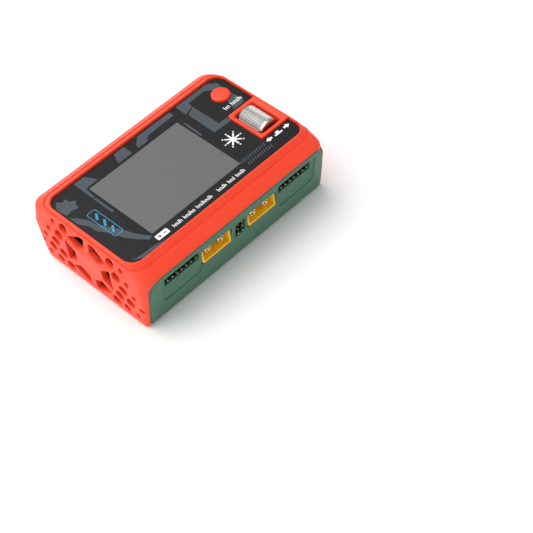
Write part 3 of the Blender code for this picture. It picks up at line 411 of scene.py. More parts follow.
def case_sections():
    """The case's outside as (z, half x, half y, corner radius), from its underside up to the recess."""
    middle_z = (BASE_Z + WAIST_Z) / 2
    flare = HALF_DEPTH - 4.35
    rim_x, rim_y = FILM_HALF_X + 0.3, FILM_HALF_Y + 0.3
    leaning = [
        (BOTTOM_Z, HALF_LENGTH_BASE - 0.35, half_depth_at(BASE_Z) - 0.5, 1.7),
        (BOTTOM_Z + 0.2, HALF_LENGTH_BASE - 0.1, half_depth_at(BASE_Z) - 0.15, 1.9),
        (BASE_Z, HALF_LENGTH_BASE, half_depth_at(BASE_Z), 2.0),
        (middle_z, HALF_LENGTH - 0.22, half_depth_at(middle_z), 2.7),
        (WAIST_Z, HALF_LENGTH, half_depth_at(WAIST_Z), 3.5),
        (KNEE_Z, HALF_LENGTH - 0.9, half_depth_at(KNEE_Z), 6.0),
    ]
    rounded = [
        (SHOULDER_Z, HALF_LENGTH - 1.0, HALF_DEPTH, 6.0),
        (SHOULDER_Z + 0.6, HALF_LENGTH - 1.1, HALF_DEPTH - 0.6, 6.0),
        (SHOULDER_Z + 3.2, rim_x + 1.6, flare, 6.6),
        (SHOULDER_Z + 3.5, rim_x + 1.45, flare - 0.45, 6.6),
        (SHOULDER_Z + 2.9, rim_x + 1.35, flare - 0.9, 6.6),
        (SHOULDER_Z + 3.5, rim_x + 1.2, flare - 1.3, 6.6),
        (RIM_Z - 0.5, rim_x + 0.8, rim_y + 1.4, 6.3),
        (RIM_Z - 0.05, rim_x + 0.55, rim_y + 0.9, 6.0),
        (RIM_Z, rim_x + 0.35, rim_y + 0.5, 5.8),
        (RIM_Z - 0.25, rim_x + 0.15, rim_y + 0.15, 5.6),
        (RIM_Z - 0.6, rim_x + 0.03, rim_y + 0.03, 5.5),
        (RECESS_Z, FILM_HALF_X + SLIT, FILM_HALF_Y + SLIT, FILM_CORNER + SLIT),
    ]
    return leaning + soften(rounded)


def case_at(z):
    """(half x, half y, corner radius) of the leaning part of the case, between its sections."""
    sections = [section for section in case_sections() if section[0] <= SHOULDER_Z]
    for low, high in zip(sections, sections[1:]):
        if z <= high[0]:
            share = max(0.0, (z - low[0]) / (high[0] - low[0]))
            return [a + (b - a) * share for a, b in zip(low[1:], high[1:])]
    return sections[-1][1:]


def case_ring(section, steps=CORNER_STEPS):
    """A level ring round the case, from (z, half x, half y, corner radius)."""
    z, half_x, half_y, radius = section
    return [(p.x, p.y, z) for p in outline(rectangle(0, 0, half_x, half_y), radius, 0.0, steps)]


def clip(corners, limit, keep):
    """The part of an outline in (y, z) above z = limit if keep is 1, or below it if keep is -1."""
    kept = []
    for i, corner in enumerate(corners):
        before = corners[i - 1]
        if (before[1] - limit) * (corner[1] - limit) < 0:
            share = (limit - before[1]) / (corner[1] - before[1])
            kept.append((before[0] + (corner[0] - before[0]) * share, limit))
        if (corner[1] - limit) * keep >= 0:
            kept.append(corner)
    return kept


def vent_shapes():
    """Outlines of one end's air openings, in (y, z), each with its corner radius."""
    shapes = []
    ring_corners = (
        (VENT_RING_INNER, -1), (VENT_RING_OUTER, -1), (VENT_RING_OUTER, 1), (VENT_RING_INNER, 1),
    )
    for sector in range(6):
        corners = []
        for distance, side in ring_corners:
            reach = distance * math.tan(math.pi / 6) - VENT_SPOKE / 2 / math.cos(math.pi / 6)
            corner = Matrix.Rotation(sector * math.pi / 3, 2) @ Vector((distance, side * reach))
            corners.append((corner.x, corner.y + VENT_Z))
        shapes.append((clip(clip(corners, VENT_TOP_Z, -1), VENT_LOW_Z, 1), VENT_RING_CORNER))
    angles = [math.pi / 6 + k * math.pi / 3 for k in range(6)]
    for row, sizes in VENT_ROWS.items():
        for column, size in enumerate(sizes):
            y = VENT_FIRST_Y - abs(row) * VENT_PITCH / 2 + column * VENT_PITCH
            z = VENT_Z + row * VENT_ROW_PITCH
            radius = VENT_RADII[size]
            for centre_y in (-y, y):
                corners = [(centre_y + radius * math.cos(a), z + radius * math.sin(a)) for a in angles]
                shapes.append((corners, HEXAGON_CORNER_SHARE * radius))
    return shapes


def vent_cutter(side):
    """Cutters for one end's openings. Each flares at the end face, which gives the opening a lip."""
    shapes = []
    for corners, radius in vent_shapes():
        if max(abs(y) for y, _ in corners) > VENT_REACH_Y[side]:
            continue
        rings = [[(side * (HOLLOW_HALF_LENGTH - 0.8), p.x, p.y) for p in outline(corners, radius)]]
        for depth, grow in ((-0.2, 0.0), (-0.06, 0.05), (0.02, 0.16)):
            points = outline(corners, radius, grow)
            rings.append([(side * (case_at(p.y)[0] + depth), p.x, p.y) for p in points])
        rings.append([(side * (HALF_LENGTH + 1.0), p.x, p.y) for p in outline(corners, radius, 0.2)])
        shapes.append(rings)
    return skins(f"vents_{side}", shapes)


def face_rings(corners, radii, side, levels, steps=5):
    """Rings over an outline in (x, z) on a leaning face, one for each (out of the face, grow)."""
    rings = []
    for out, grow in levels:
        points = outline(corners, radii, grow, steps)
        rings.append([(p.x, side * (half_depth_at(p.y) + out), p.y) for p in points])
    return rings


def screen_corners(grow_x, grow_y):
    return rectangle(SCREEN_X, SCREEN_Y, SCREEN_SIZE_X / 2 + grow_x, SCREEN_SIZE_Y / 2 + grow_y)


def button_hole(low_z, high_z, sides):
    """Rings of a cutter for the hole round the button's cap."""
    radius = BUTTON_RADIUS + BUTTON_GAP
    return round_rings(BUTTON_X, BUTTON_Y, ((radius, low_z), (radius, high_z)), sides)


def wheel_frame_corners(right, gap=0.0):
    """Outline of the raised frame round the wheel's window, out to its right edge."""
    left = WHEEL.x - WINDOW_SIZE_X / 2 - FRAME_WALL - gap
    half_y = WINDOW_SIZE_Y / 2 + FRAME_WALL + 0.3 + gap
    return rectangle((left + right) / 2, WHEEL.y, (right - left) / 2, half_y)


def case_top():
    """The red shell: top, rim, wheel frame and both ends."""
    shell = skins("case_top", [[case_ring(section) for section in case_sections()]])
    corners = wheel_frame_corners(FILM_HALF_X + 0.65)
    top = RIM_Z - 0.02
    levels = ((RECESS_Z - 0.8, 0.0), (top - 0.4, 0.0), (top - 0.12, -0.08), (top - 0.03, -0.22), (top, -0.45))
    wheel_frame = skins("wheel_frame", [flat_rings(corners, 0.6, levels)])
    carve(shell, wheel_frame, operation="UNION")

    hollow = [
        (z, HOLLOW_HALF_LENGTH, half_depth_at(z) - WALL, radius)
        for z, radius in ((-FLOOR_Z, 0.3), (FLOOR_Z + 1, 0.3), (KNEE_Z, 4.5))
    ]
    hollow.append((CEILING_Z, HOLLOW_HALF_LENGTH, HALF_DEPTH - 4.75, 4.5))
    arches = face_plates("arches", -FLOOR_Z, ((0.0, -9.0), (BEVEL[-1][0] + SLIT, -9.0)), WALL + SLIT)
    carve(shell, skins("hollow", [[case_ring(section, 4) for section in hollow]]), arches)

    start_z = CEILING_Z - 3
    window = rectangle(WHEEL.x, WHEEL.y, WINDOW_SIZE_X / 2, WINDOW_SIZE_Y / 2)
    window_levels = (
        (start_z, 0.0), (top - 0.9, 0.0), (top - 0.5, 0.1),
        (top - 0.12, 0.4), (top + 0.02, 0.65), (top + 1, 0.7),
    )
    openings = [
        flat_rings(screen_corners(0.8, 0.6), 0.8, ((start_z, 0.0), (RECESS_Z + 1, 0.0))),
        flat_rings(window, 0.9, window_levels, 6),
        button_hole(start_z, RECESS_Z + 2, 48),
    ]
    carve(shell, skins("top_openings", openings), vent_cutter(-1), vent_cutter(1))
    finish_piece(shell, "red_plastic", replaces=["top_shell"])


def skin_y(x, z):
    """How far the case's outside stands from the middle plane at (x, z), its upright corners included."""
    half_x, half_y, radius = case_at(z)
    past = abs(x) - (half_x - radius)
    if past <= 0:
        return half_y
    return half_y - radius + math.sqrt(max(radius ** 2 - past ** 2, 0.0))


def arch_edge(low_z):
    """The right edge of the flat part of the green face, from low_z up: (x, z, outward x, outward z).

    x is measured from the middle of the arch.
    """
    inset = BEVEL[-1][0]
    centre_x, centre_z = ARCH_HALF_WIDTH - ARCH_CORNER, ARCH_TOP_Z - ARCH_CORNER
    straight_steps = 8
    heights = [low_z, BOTTOM_Z + 0.2, BOTTOM_Z + 0.4, BASE_Z]
    heights += [BASE_Z + (centre_z - BASE_Z) * k / straight_steps for k in range(1, straight_steps + 1)]
    edge = [(ARCH_HALF_WIDTH - inset, z, 1.0, 0.0) for z in heights]
    for step in range(1, CORNER_STEPS + 1):
        angle = step / CORNER_STEPS * math.pi / 2
        reach = ARCH_CORNER - inset
        outward = (math.cos(angle), math.sin(angle))
        edge.append((centre_x + reach * outward[0], centre_z + reach * outward[1], *outward))
    return edge


def face_sheet(bm, side, low_z, bevel):
    """A sheet over one long face that follows the case: its flat part, then a ring for each (out, drop).

    Returns its closed border: up the left edge, over the top, down the right edge, along the bottom.
    """
    edge = arch_edge(low_z)
    flat_drop = bevel[0][1]
    grid = []
    for x, z, _, _ in edge:
        places = [ARCH_X + x * share for share in FACE_COLUMNS]
        grid.append([bm.verts.new((px, side * (skin_y(px, z) - flat_drop), z)) for px in places])
    for low, high in zip(grid, grid[1:]):
        for i in range(len(FACE_COLUMNS) - 1):
            bm.faces.new((low[i], low[i + 1], high[i + 1], high[i]))
    top_x, top_z = edge[-1][:2]
    path = [(-x, z, -out_x, out_z) for x, z, out_x, out_z in edge]
    path += [(top_x * share, top_z, 0.0, 1.0) for share in FACE_COLUMNS[1:-1]]
    path += edge[::-1]
    inner = [row[0] for row in grid] + grid[-1][1:-1] + [row[-1] for row in grid[::-1]]
    lowest = grid[0][1:-1]
    for out, drop in bevel[1:]:
        outer = []
        for x, z, out_x, out_z in path:
            place_x, place_z = ARCH_X + x + out_x * out, z + out_z * out
            y = skin_y(place_x, min(place_z, SHOULDER_Z - 0.1)) - drop
            outer.append(bm.verts.new((place_x, side * y, place_z)))
        for i in range(len(path) - 1):
            bm.faces.new((inner[i], inner[i + 1], outer[i + 1], outer[i]))
        lowest = [inner[0], *lowest, inner[-1]]
        inner = outer
    return inner + lowest[::-1]


def face_plate(bm, side, low_z, bevel, depth):
    """A closed plate over one long face, from its bevelled outside to the given depth."""
    outside = face_sheet(bm, side, low_z, bevel)
    inside = face_sheet(bm, side, low_z, [(out, depth) for out, _ in bevel])
    for i in range(len(outside)):
        j = (i + 1) % len(outside)
        bm.faces.new((outside[i], outside[j], inside[j], inside[i]))


def face_plates(name, low_z, bevel, depth):
    """One piece with a plate over each long face."""
    bm = bmesh.new()
    for side in (-1, 1):
        face_plate(bm, side, low_z, bevel, depth)
    return new_piece(name, bm)


def mouth(x, z, size_x, size_z, side, corner=0.5, sunk=0.0):
    """Rings of a cutter for a connector's mouth, with a rounded lip. sunk is the depth of its pocket."""
    lip = ((-0.22, 0.0), (-0.07, 0.06), (0.02, 0.22), (0.5, 0.7))
    levels = [(-2.5 * WALL, 0.0)] + [(out - sunk, grow) for out, grow in lip]
    return face_rings(rectangle(x, z, size_x / 2, size_z / 2), corner, side, levels)


def case_bottom():
    """The green shell: the floor and both long faces with their connector mouths."""
    shell = face_plates("case_bottom", BOTTOM_Z, BEVEL, WALL)
    half_x, half_y = HOLLOW_HALF_LENGTH - SLIT, skin_y(0, BOTTOM_Z) - 0.5
    floor = soft_box("floor_plate", (-half_x, -half_y, BOTTOM_Z), (half_x, half_y, FLOOR_Z))
    pillar = ((3.0, FLOOR_Z - 0.5), (3.0, 11.7))
    pillars = [round_rings(sx * SCREW_X, sy * SCREW_Y, pillar, 24) for sx, sy in CORNERS]
    carve(shell, floor, skins("pillars", pillars), operation="UNION")
    screw_seat = (
        (3.2, -1.0), (2.9, BOTTOM_Z), (2.6, BOTTOM_Z + 0.3), (2.6, 3.2), (1.5, 3.2), (1.5, 15),
    )
    foot_seat = ((5.2, -1.0), (4.6, BOTTOM_Z), (4.3, BOTTOM_Z + 0.2), (4.3, BOTTOM_Z + 0.8))
    seats = []
    for sx, sy in CORNERS:
        seats.append(round_rings(sx * SCREW_X, sy * SCREW_Y, screw_seat, 24))
        seats.append(round_rings(sx * FOOT_X, sy * FOOT_Y, foot_seat, 32))
    carve(shell, skins("seats", seats))

    plug_size = (XT60_SIZE_X + MOUTH_GAP, XT60_SIZE_Z + MOUTH_GAP)
    pocket_levels = ((-POCKET_DEPTH - 0.01, -0.15), (-0.32, 0.0), (-0.08, 0.02), (0.02, 0.16), (0.5, 0.6))
    pockets, mouths = [], []
    for side, reach_left, reach_right in ((-1, 10.9, 10.9), (1, 9.3, 12.0)):
        x = CONNECTORS_X + side * BALANCE_X
        left, right = x - reach_left, x + reach_right
        corners = [(left, POCKET_LOW_Z), (right, POCKET_LOW_Z), (right, POCKET_HIGH_Z), (left, POCKET_HIGH_Z)]
        pockets.append(face_rings(corners, [2.8, 2.8, 1.2, 1.2], -1, pocket_levels))
        mouths.append(mouth(x, BALANCE_Z, BALANCE_SIZE_X, BALANCE_SIZE_Z, -1, sunk=POCKET_DEPTH))
        mouths.append(mouth(CONNECTORS_X + side * XT60_X, XT60_Z, *plug_size, -1))
    mouths.append(mouth(SIGNAL_X, SIGNAL_Z, SIGNAL_SIZE_X, SIGNAL_SIZE_Z, -1, 0.3))
    mouths.append(mouth(0, XT60_Z, *plug_size, 1))
    usb_low, usb_high = span("usb_shell")
    usb, usb_size = (usb_low + usb_high) / 2, usb_high - usb_low
    mouths.append(mouth(usb.x, usb.z, usb_size.x + MOUTH_GAP, usb_size.z + MOUTH_GAP, 1, 0.6))
    carve(shell, skins("pockets", pockets))
    carve(shell, skins("mouths", mouths))
    finish_piece(shell, "green_plastic", replaces=["bottom_shell"])


# ---- film and display

def film():
    """The printed film, with openings for the display, the wheel's frame and the button."""
    top = FILM_TOP_Z
    below, above = top - 2, top + 1
    edge = ((FILM_LOW.z, 0.0), (top - 0.12, 0.0), (top - 0.03, -0.04), (top, -0.12))
    corners = rectangle(0, 0, FILM_HALF_X, FILM_HALF_Y)
    sheet = skins("label_film", [flat_rings(corners, FILM_CORNER, edge, CORNER_STEPS)])
    window_levels = ((below, 0.0), (top - 0.1, 0.0), (top + 0.02, 0.1), (top + 0.5, 0.3))
    openings = [
        flat_rings(wheel_frame_corners(HALF_LENGTH, SLIT), 0.8, ((below, 0.0), (above, 0.0))),
        flat_rings(screen_corners(0.0, 0.0), 0.35, window_levels),
        button_hole(below, above, 64),
    ]
    carve(sheet, skins("film_openings", openings))
    finish_piece(sheet, "film", replaces=["top_film"])


def display_window():
    """The glass over the display, just inside the film's opening."""
    top = FILM_TOP_Z
    levels = ((FILM_LOW.z, 0.0), (top - 0.16, 0.0), (top - 0.12, -0.05))
    glass = skins("display_window", [flat_rings(screen_corners(-0.05, -0.05), 0.3, levels)])
    finish_piece(glass, "display_glass")


# Artwork on the film, as outlines in (x, y) measured from ART_X. It is printed as thin layers, and a
# second layer stands UPPER_INK over the first.
ART_X = 0.6
PRINT_LOW, PRINT_HIGH, UPPER_INK = FILM_TOP_Z + 0.004, FILM_TOP_Z + 0.016, 0.016
GREY_PATCHES = (
    ((22.4, 25.1), (40.6, 25.1), (44.0, 21.7), (43.3, 17.3), (39.0, 20.7), (36.8, 22.7), (27.6, 22.5),
     (27.3, 20.0), (22.3, 18.5)),
    ((27.2, 19.6), (22.7, 17.4), (22.5, 1.7), (32.0, 1.4), (32.0, 3.9), (27.4, 4.1)),
    ((43.5, 13.6), (44.0, 7.1), (43.2, 5.2), (37.1, 5.0), (38.7, 7.9), (39.2, 12.0)),
    ((18.0, 16.2), (18.7, 14.8), (18.4, 5.3), (17.9, 4.3), (17.4, 6.1)),
    ((-34.4, 24.9), (-28.9, 24.9), (-26.3, 19.5), (-32.9, 19.2), (-33.5, 13.3), (-34.6, 13.0)),
    ((-12.7, 24.9), (-7.3, 24.9), (-7.2, 19.6), (-14.9, 19.5)),
    ((0.4, 24.9), (18.7, 24.9), (18.6, 22.2), (4.1, 21.9), (2.1, 20.7), (1.6, 19.6), (-3.5, 19.6),
     (-3.4, 21.3)),
    ((-34.6, 12.6), (-33.5, 12.6), (-33.5, 1.5), (-34.6, 1.5)),
    ((-45.6, 22.9), (-43.9, 20.9), (-42.1, 21.4), (-41.9, 19.0), (-39.6, 17.7), (-41.0, 15.9),
     (-41.6, 13.6), (-44.3, 14.6), (-47.4, 14.2), (-48.1, 17.6), (-47.9, 20.2)),
    ((-47.6, 12.2), (-45.6, 9.8), (-43.4, 5.6), (-42.9, 2.0), (-41.0, -2.6), (-38.4, -7.6), (-36.3, -13.6),
     (-32.9, -19.8), (-34.8, -20.4), (-38.0, -16.2), (-40.6, -11.6), (-42.4, -6.0), (-45.2, -1.2),
     (-45.4, 3.0), (-47.8, 7.6)),
    ((-46.4, -21.8), (-44.6, -23.4), (-36.8, -23.9), (-29.8, -25.1), (-42.6, -25.3), (-45.0, -23.9)),
)

# Kinds of letter mark, in shares of their height: first bar's height, level bar's place, last bar's height.
LETTER_KINDS = ((1.0, 0.45, 0.65), (0.68, 0.54, 0.68), (0.68, 0.05, 1.0))

# Rows of letter marks, each as its foot, pitch, height, and runs of (left edge, how many).
LETTER_ROWS = (
    (-23.4, 1.2, 1.9, ((-24.1, 4), (-18.3, 5), (-11.3, 7), (0.3, 4), (6.1, 3), (10.7, 4))),
    (7.2, 1.5, 2.2, ((34.7, 2), (38.6, 4))),
)


def ink(name, look, shapes, lift=0.0):
    """Printed shapes on the film, each a thin layer."""
    rings = []
    for shape in shapes:
        rings.append([[(ART_X + x, y, z + lift) for x, y in shape] for z in (PRINT_LOW, PRINT_HIGH)])
    finish_piece(skins(name, rings), look)


def ink_frame(name, look, outer, inner, lift):
    """A printed frame between two outlines."""
    section = ((inner, PRINT_LOW), (outer, PRINT_LOW), (outer, PRINT_HIGH), (inner, PRINT_HIGH))
    rings = [[(ART_X + x, y, z + lift) for x, y in shape] for shape, z in section]
    finish_piece(skins(name, [rings], looped=True), look)


def stroke(start, end, width):
    """A straight bar between two points."""
    first, last = Vector(start), Vector(end)
    along = (last - first).normalized()
    side = Vector((-along.y, along.x)) * width / 2
    return [first - side, last - side, last + side, first + side]


def upright(x, y, width, height):
    """A bar that stands on (x, y), its lower left corner."""
    return [(x, y), (x + width, y), (x + width, y + height), (x, y + height)]


def letter_marks(x, y, count, pitch, height):
    """A run of plain marks the size of letters. Each is two upright bars and a level one between them."""
    shapes = []
    for number in range(count):
        first, level, last = LETTER_KINDS[number % len(LETTER_KINDS)]
        left, bar = x + number * pitch, 0.22 * pitch
        shapes.append(upright(left, y, bar, first * height))
        shapes.append(upright(left + bar + 0.02, y + level * height, 1.4 * bar, 0.15 * height))
        shapes.append(upright(left + 2.4 * bar + 0.04, y, bar, last * height))
    return shapes


def slanted_rows():
    """Two rows of short slanted bars."""
    bars = []
    for row_x, row_y in ((17.0, -19.7), (18.6, -22.4)):
        for number in range(11):
            x = row_x + number * 1.3
            bars.append(stroke((x, row_y), (x + 0.8, row_y + 1.7), 0.5))
    ink("print_slanted", "print_grey", bars)


def emblem():
    """Three slanted bars in a frame with round corners."""
    x, y = -40.1, -0.3
    frames = [outline(rectangle(x, y, 2.3, 8.7), 0.9, -inset) for inset in (0.0, 0.3)]
    ink_frame("print_emblem_frame", "print_blue", *frames, UPPER_INK)
    bars = [stroke((x - 1.0, y + rise - 1.5), (x + 1.0, y + rise + 1.5), 1.0) for rise in (-4.8, 0.0, 4.8)]
    ink("print_emblem", "print_blue", bars, UPPER_INK)


def badge():
    """A white badge with a plus and a minus."""
    x, y = -29.6, -22.2
    plus_x, minus_x, half_long, half_thick = x - 1.4, x + 1.4, 0.8, 0.2
    ink("print_badge", "print_white", [outline(rectangle(x, y, 3.1, 1.4), 0.5)])
    signs = [
        rectangle(plus_x, y, half_thick, half_long),
        rectangle(plus_x - 0.52, y, 0.3, half_thick),
        rectangle(plus_x + 0.52, y, 0.3, half_thick),
        rectangle(minus_x, y, half_long, half_thick),
    ]
    ink("print_badge_signs", "film", signs, UPPER_INK)


def light_sign():
    """A disc with eight rays, each with a dot past its end."""
    middle = Vector((24.5, -7.0))
    shapes = []
    for number in range(8):
        angle = number * math.pi / 4
        along = Vector((math.cos(angle), math.sin(angle)))
        shapes.append(stroke(middle + along * 1.5, middle + along * 3.5, 0.7))
        shapes.append(circle(*(middle + along * 4.3), 0.38, 12))
    shapes.append(circle(*middle, 1.45, 24))
    ink("print_sign", "print_white", shapes)


def arrow_row():
    """An arrow to each side, and a push sign between them."""
    y, push_x = -18.5, 38.9
    shapes = []
    for tip, inward in ((32.2, 1), (45.6, -1)):
        head = [(tip, y), (tip + inward * 1.9, y - 1.25), (tip + inward * 1.9, y + 1.25)]
        shapes.append(head[::inward])
        shapes.append(rectangle(tip + inward * 2.6, y, 0.65, 0.5))
    shapes.append(rectangle(push_x, y - 0.5, 2.1, 0.4))
    shapes.append(rectangle(push_x, y + 0.5, 0.9, 0.55))
    ink("print_arrows", "print_white", shapes)


def film_print():
    """The film's generic markings."""
    ink("print_grey", "print_grey", GREY_PATCHES)
    slanted_rows()
    emblem()
    badge()
    letters = []
    for y, pitch, height, runs in LETTER_ROWS:
        for x, count in runs:
            letters += letter_marks(x, y, count, pitch, height)
    ink("print_letters", "print_white", letters, UPPER_INK)
    light_sign()
    arrow_row()


# ---- controls

# The wheel's square knurl. KNURL is the depth at each place round one tooth, as a share.
WHEEL_TEETH, KNURL_DEPTH, GROOVE_DEPTH, KNURL_PITCH = 38, 0.34, 0.14, 0.85
KNURL = (1.0, 0.12, 0.0, 0.12)
FRONT_BAND, BACK_BAND = 1.5, 0.5


def scroll_wheel():
    """The wheel: a square knurl round a barrel, with smooth bands at its ends and a bore.

    Each station along the wheel is (y, kind), where kind is how far a smooth ring stands over the
    wheel's radius, or the name of a knurled one.
    """
    low, high = WHEEL.y - WHEEL_LENGTH / 2, WHEEL.y + WHEEL_LENGTH / 2
    start, end = low + FRONT_BAND, high - BACK_BAND
    rows = round((end - start) / KNURL_PITCH)
    step = (end - start) / rows
    stations = [(low, -0.35), (low + 0.12, -0.1), (low + 0.35, 0.0), (start - 0.15, 0.0), (start, "groove")]
    for row in range(rows):
        y = start + row * step
        stations += [(y + step * 0.12, "groove"), (y + step * 0.3, "ridge"), (y + step * 0.82, "ridge")]
    stations += [(end, "groove"), (end + 0.15, 0.0), (high - 0.3, 0.0), (high - 0.1, -0.1), (high, -0.35)]
    sides = WHEEL_TEETH * len(KNURL)
    rings = []
    for y, kind in stations:
        ring = []
        for side in range(sides):
            angle = side * 2 * math.pi / sides
            cut = KNURL_DEPTH * KNURL[side % len(KNURL)]
            if kind == "groove":
                radius = WHEEL_RADIUS - max(GROOVE_DEPTH, cut)
            elif kind == "ridge":
                radius = WHEEL_RADIUS - cut
            else:
                radius = WHEEL_RADIUS + kind
            ring.append((WHEEL.x + radius * math.cos(angle), y, WHEEL.z + radius * math.sin(angle)))
        rings.append(ring)
    rings += along_y(circle(WHEEL.x, WHEEL.z, WHEEL_BORE_RADIUS, sides), (high, low))
    wheel = skins("knurled_wheel", [rings], looped=True)
    finish_piece(wheel, "wheel_metal", "scroll_wheel", ["scroll_wheel"])


def exit_button():
    """A domed cap over a flange that holds it under the top, and its stem."""
    top, radius = BUTTON_HIGH.z, BUTTON_RADIUS
    flange_radius, flange_top, flange_low = radius + BUTTON_FLANGE, CEILING_Z - 0.3, CEILING_Z - 1.3
    stem_radius, stem_low = 1.5, BUTTON_LOW.z
    dome_slope = 0.4675 / (1 - math.cos(1.25))
    profile = [
        (radius * math.sin(angle), top - dome_slope * (1 - math.cos(angle)))
        for angle in (0.02, 0.2, 0.4, 0.6, 0.8, 0.95)
    ]
    profile += [(radius * 0.93, top - 0.42), (radius * 0.975, top - 0.6), (radius, top - 0.95)]
    profile += [(radius, flange_top), (flange_radius, flange_top), (flange_radius, flange_low)]
    profile += [(stem_radius, flange_low), (stem_radius, stem_low), (0.05, stem_low)]
    button = turned("exit_button_cap", profile, (BUTTON_X, BUTTON_Y, 0), sides=64)
    finish_piece(button, "red_plastic", "exit_button", ["exit_button"])


# ---- connectors

def socket_rings(outer, outer_radius, inner, inner_radius, face, back, floor, lip):
    """Rings of a housing open at its face: from its back over the rounded lip and down to its floor.

    outer and inner are outlines in (x, z); face, back and floor are places along Y.
    """
    inward = 1 if back > face else -1
    rings = [
        (back, outer, outer_radius, 0.0),
        (face + inward * lip, outer, outer_radius, 0.0),
        (face + inward * lip * 0.3, outer, outer_radius, -lip * 0.3),
        (face, outer, outer_radius, -lip),
        (face, inner, inner_radius, lip),
        (face + inward * lip * 0.3, inner, inner_radius, lip * 0.3),
        (face + inward * lip, inner, inner_radius, 0.0),
        (floor, inner, inner_radius, 0.0),
    ]
    return [[(p.x, y, p.y) for p in outline(corners, radius, grow)] for y, corners, radius, grow in rings]


def tapered_pin(x, z, tip, end, half=PIN_SIZE / 2):
    """Rings of a square header pin along Y, narrowed at its tip."""
    return [
        [(x + a * h, y, z + b * h) for a, b in ((-1, -1), (1, -1), (1, 1), (-1, 1))]
        for y, h in ((tip, half * 0.45), (tip + 0.35, half), (end, half))
    ]


def battery_pin(name, end, side, x, z):
    """A hollow pin, split in four at its tip, with a solder tab at its foot."""
    node = f"{name}_pin_{end}"
    low, high = span(node)
    tip, foot = (high.y, low.y) if side > 0 else (low.y, high.y)
    radius, bore, bore_depth, split_depth, half_slot = XT60_PIN_RADIUS, 1.0, 7.0, 6.2, 0.24
    profile = [(0.03, bore_depth), (bore, bore_depth), (bore, 0.35), (bore + 0.2, 0.0)]
    profile += [(radius - 0.38, 0.0), (radius - 0.12, 0.2), (radius, 0.6), (radius, 1.8)]
    profile += [(radius - 0.1, 2.4), (radius - 0.1, 5.6), (radius, 6.2), (radius, 17.0), (0.03, 17.0)]
    profile = [(around, tip - side * along) for around, along in profile]
    pin = turned(f"{name}_{end}_bullet", profile, (x, 0, z), "Y", 40)
    slots = []
    for half_x, half_z in ((3.0, half_slot), (half_slot, 3.0)):
        corner = (x - half_x, tip + side, z - half_z)
        slots.append(soft_box("slot", corner, (x + half_x, tip - side * split_depth, z + half_z)))
    carve(pin, *slots)
    tab = soft_box("tab", (x - 0.95, foot, low.z), (x + 0.95, foot + side * 1.8, z - 0.4), 0.1)
    carve(pin, tab, operation="UNION")
    finish_piece(pin, "gold", replaces=[node])


def battery_plug(name, side):
    """A yellow plug with both corners of its left end cut, and its two pins. It faces side, along Y."""
    low, high = span(f"{name}_housing")
    face, back = (high.y, low.y) if side > 0 else (low.y, high.y)
    wall, cut, lip, depth = 0.9, 0.9, 0.2, 11
    outlines = []
    for inset, corner in ((0.0, cut), (wall, cut * 0.75)):
        left, right, foot, top = low.x + inset, high.x - inset, low.z + inset, high.z - inset
        outlines.append([
            (left + corner, foot), (right, foot), (right, top),
            (left + corner, top), (left, top - corner), (left, foot + corner),
        ])
    outer, inner = outlines
    rings = socket_rings(outer, 0.3, inner, 0.3, face, back, face - side * depth, lip)
    housing = skins(f"{name}_plug", [rings])
    middle = (low + high) / 2
    pins = (("left", middle.x - XT60_PIN_SPACING / 2), ("right", middle.x + XT60_PIN_SPACING / 2))
    hole_radius = XT60_PIN_RADIUS + 0.15
    holes = [along_y(circle(x, middle.z, hole_radius, 24), (face, back - side)) for _, x in pins]
    carve(housing, skins("pin_holes", holes))
    finish_piece(housing, "yellow_nylon", replaces=[f"{name}_housing"])
    for end, x in pins:
        battery_pin(name, end, side, x, middle.z)


def header(name, x, z, size_x, size_z, columns, rows, pitch):
    """A black pin header whose nose stands back in its mouth, and its square pins."""
    low, high = span(f"{name}_housing")
    pin_low, pin_high = span(f"{name}_pins")
    gap, wall, lip, half_hole = 0.3, 0.5, 0.12, 0.42
    past_back = high.y + 1
    outer = rectangle(x, z, size_x / 2 - gap, size_z / 2 - gap)
    inner = rectangle(x, z, size_x / 2 - gap - wall, size_z / 2 - gap - wall)
    body_front = -half_depth_at(low.z) + WALL + 0.35
    nose_rings = socket_rings(outer, 0.25, inner, 0.2, low.y, high.y - 1.0, high.y - 2.5, lip)
    nose = skins(f"{name}_nose", [nose_rings])
    body = soft_box("body", (low.x, body_front, low.z), high, 0.2)
    carve(body, skins("bore", [along_y(outline(outer, 0.25, -0.1), (body_front - 1, past_back))]))
    carve(nose, body, operation="UNION")
    pins, holes = [], []
    for column in range(columns):
        for row in range(rows):
            pin_x = x + (column - (columns - 1) / 2) * pitch
            pin_z = z + (row - (rows - 1) / 2) * pitch
            pins.append(tapered_pin(pin_x, pin_z, pin_low.y, pin_high.y))
            holes.append(along_y(rectangle(pin_x, pin_z, half_hole, half_hole), (low.y + 4, past_back)))
    carve(nose, skins("pin_holes", holes))
    finish_piece(nose, "black_plastic", replaces=[f"{name}_housing"])
    finish_piece(skins(f"{name}_contacts", pins), "gold", replaces=[f"{name}_pins"])


def usb_shell():
    """A steel shell with rounded corners, open at the back face, with a window over each sprung tab."""
    low, high = span("usb_shell")
    wall, tab_inset, half_window = 0.35, 3.6, 1.2
    middle, half = (low + high) / 2, (high - low) / 2
    outer = rectangle(middle.x, middle.z, half.x, half.z)
    inner = rectangle(middle.x, middle.z, half.x - wall, half.z - wall)
    shell = skins("usb_case", [socket_rings(outer, 0.7, inner, 0.45, high.y, low.y, low.y + wall, 0.12)])
    windows = []
    for x in (low.x + tab_inset, high.x - tab_inset):
        corner = (x - half_window, high.y - 7, high.z - 1)
        windows.append(soft_box("window", corner, (x + half_window, high.y - 3, high.z + 1)))
    carve(shell, *windows)
    finish_piece(shell, "steel", replaces=["usb_shell"])


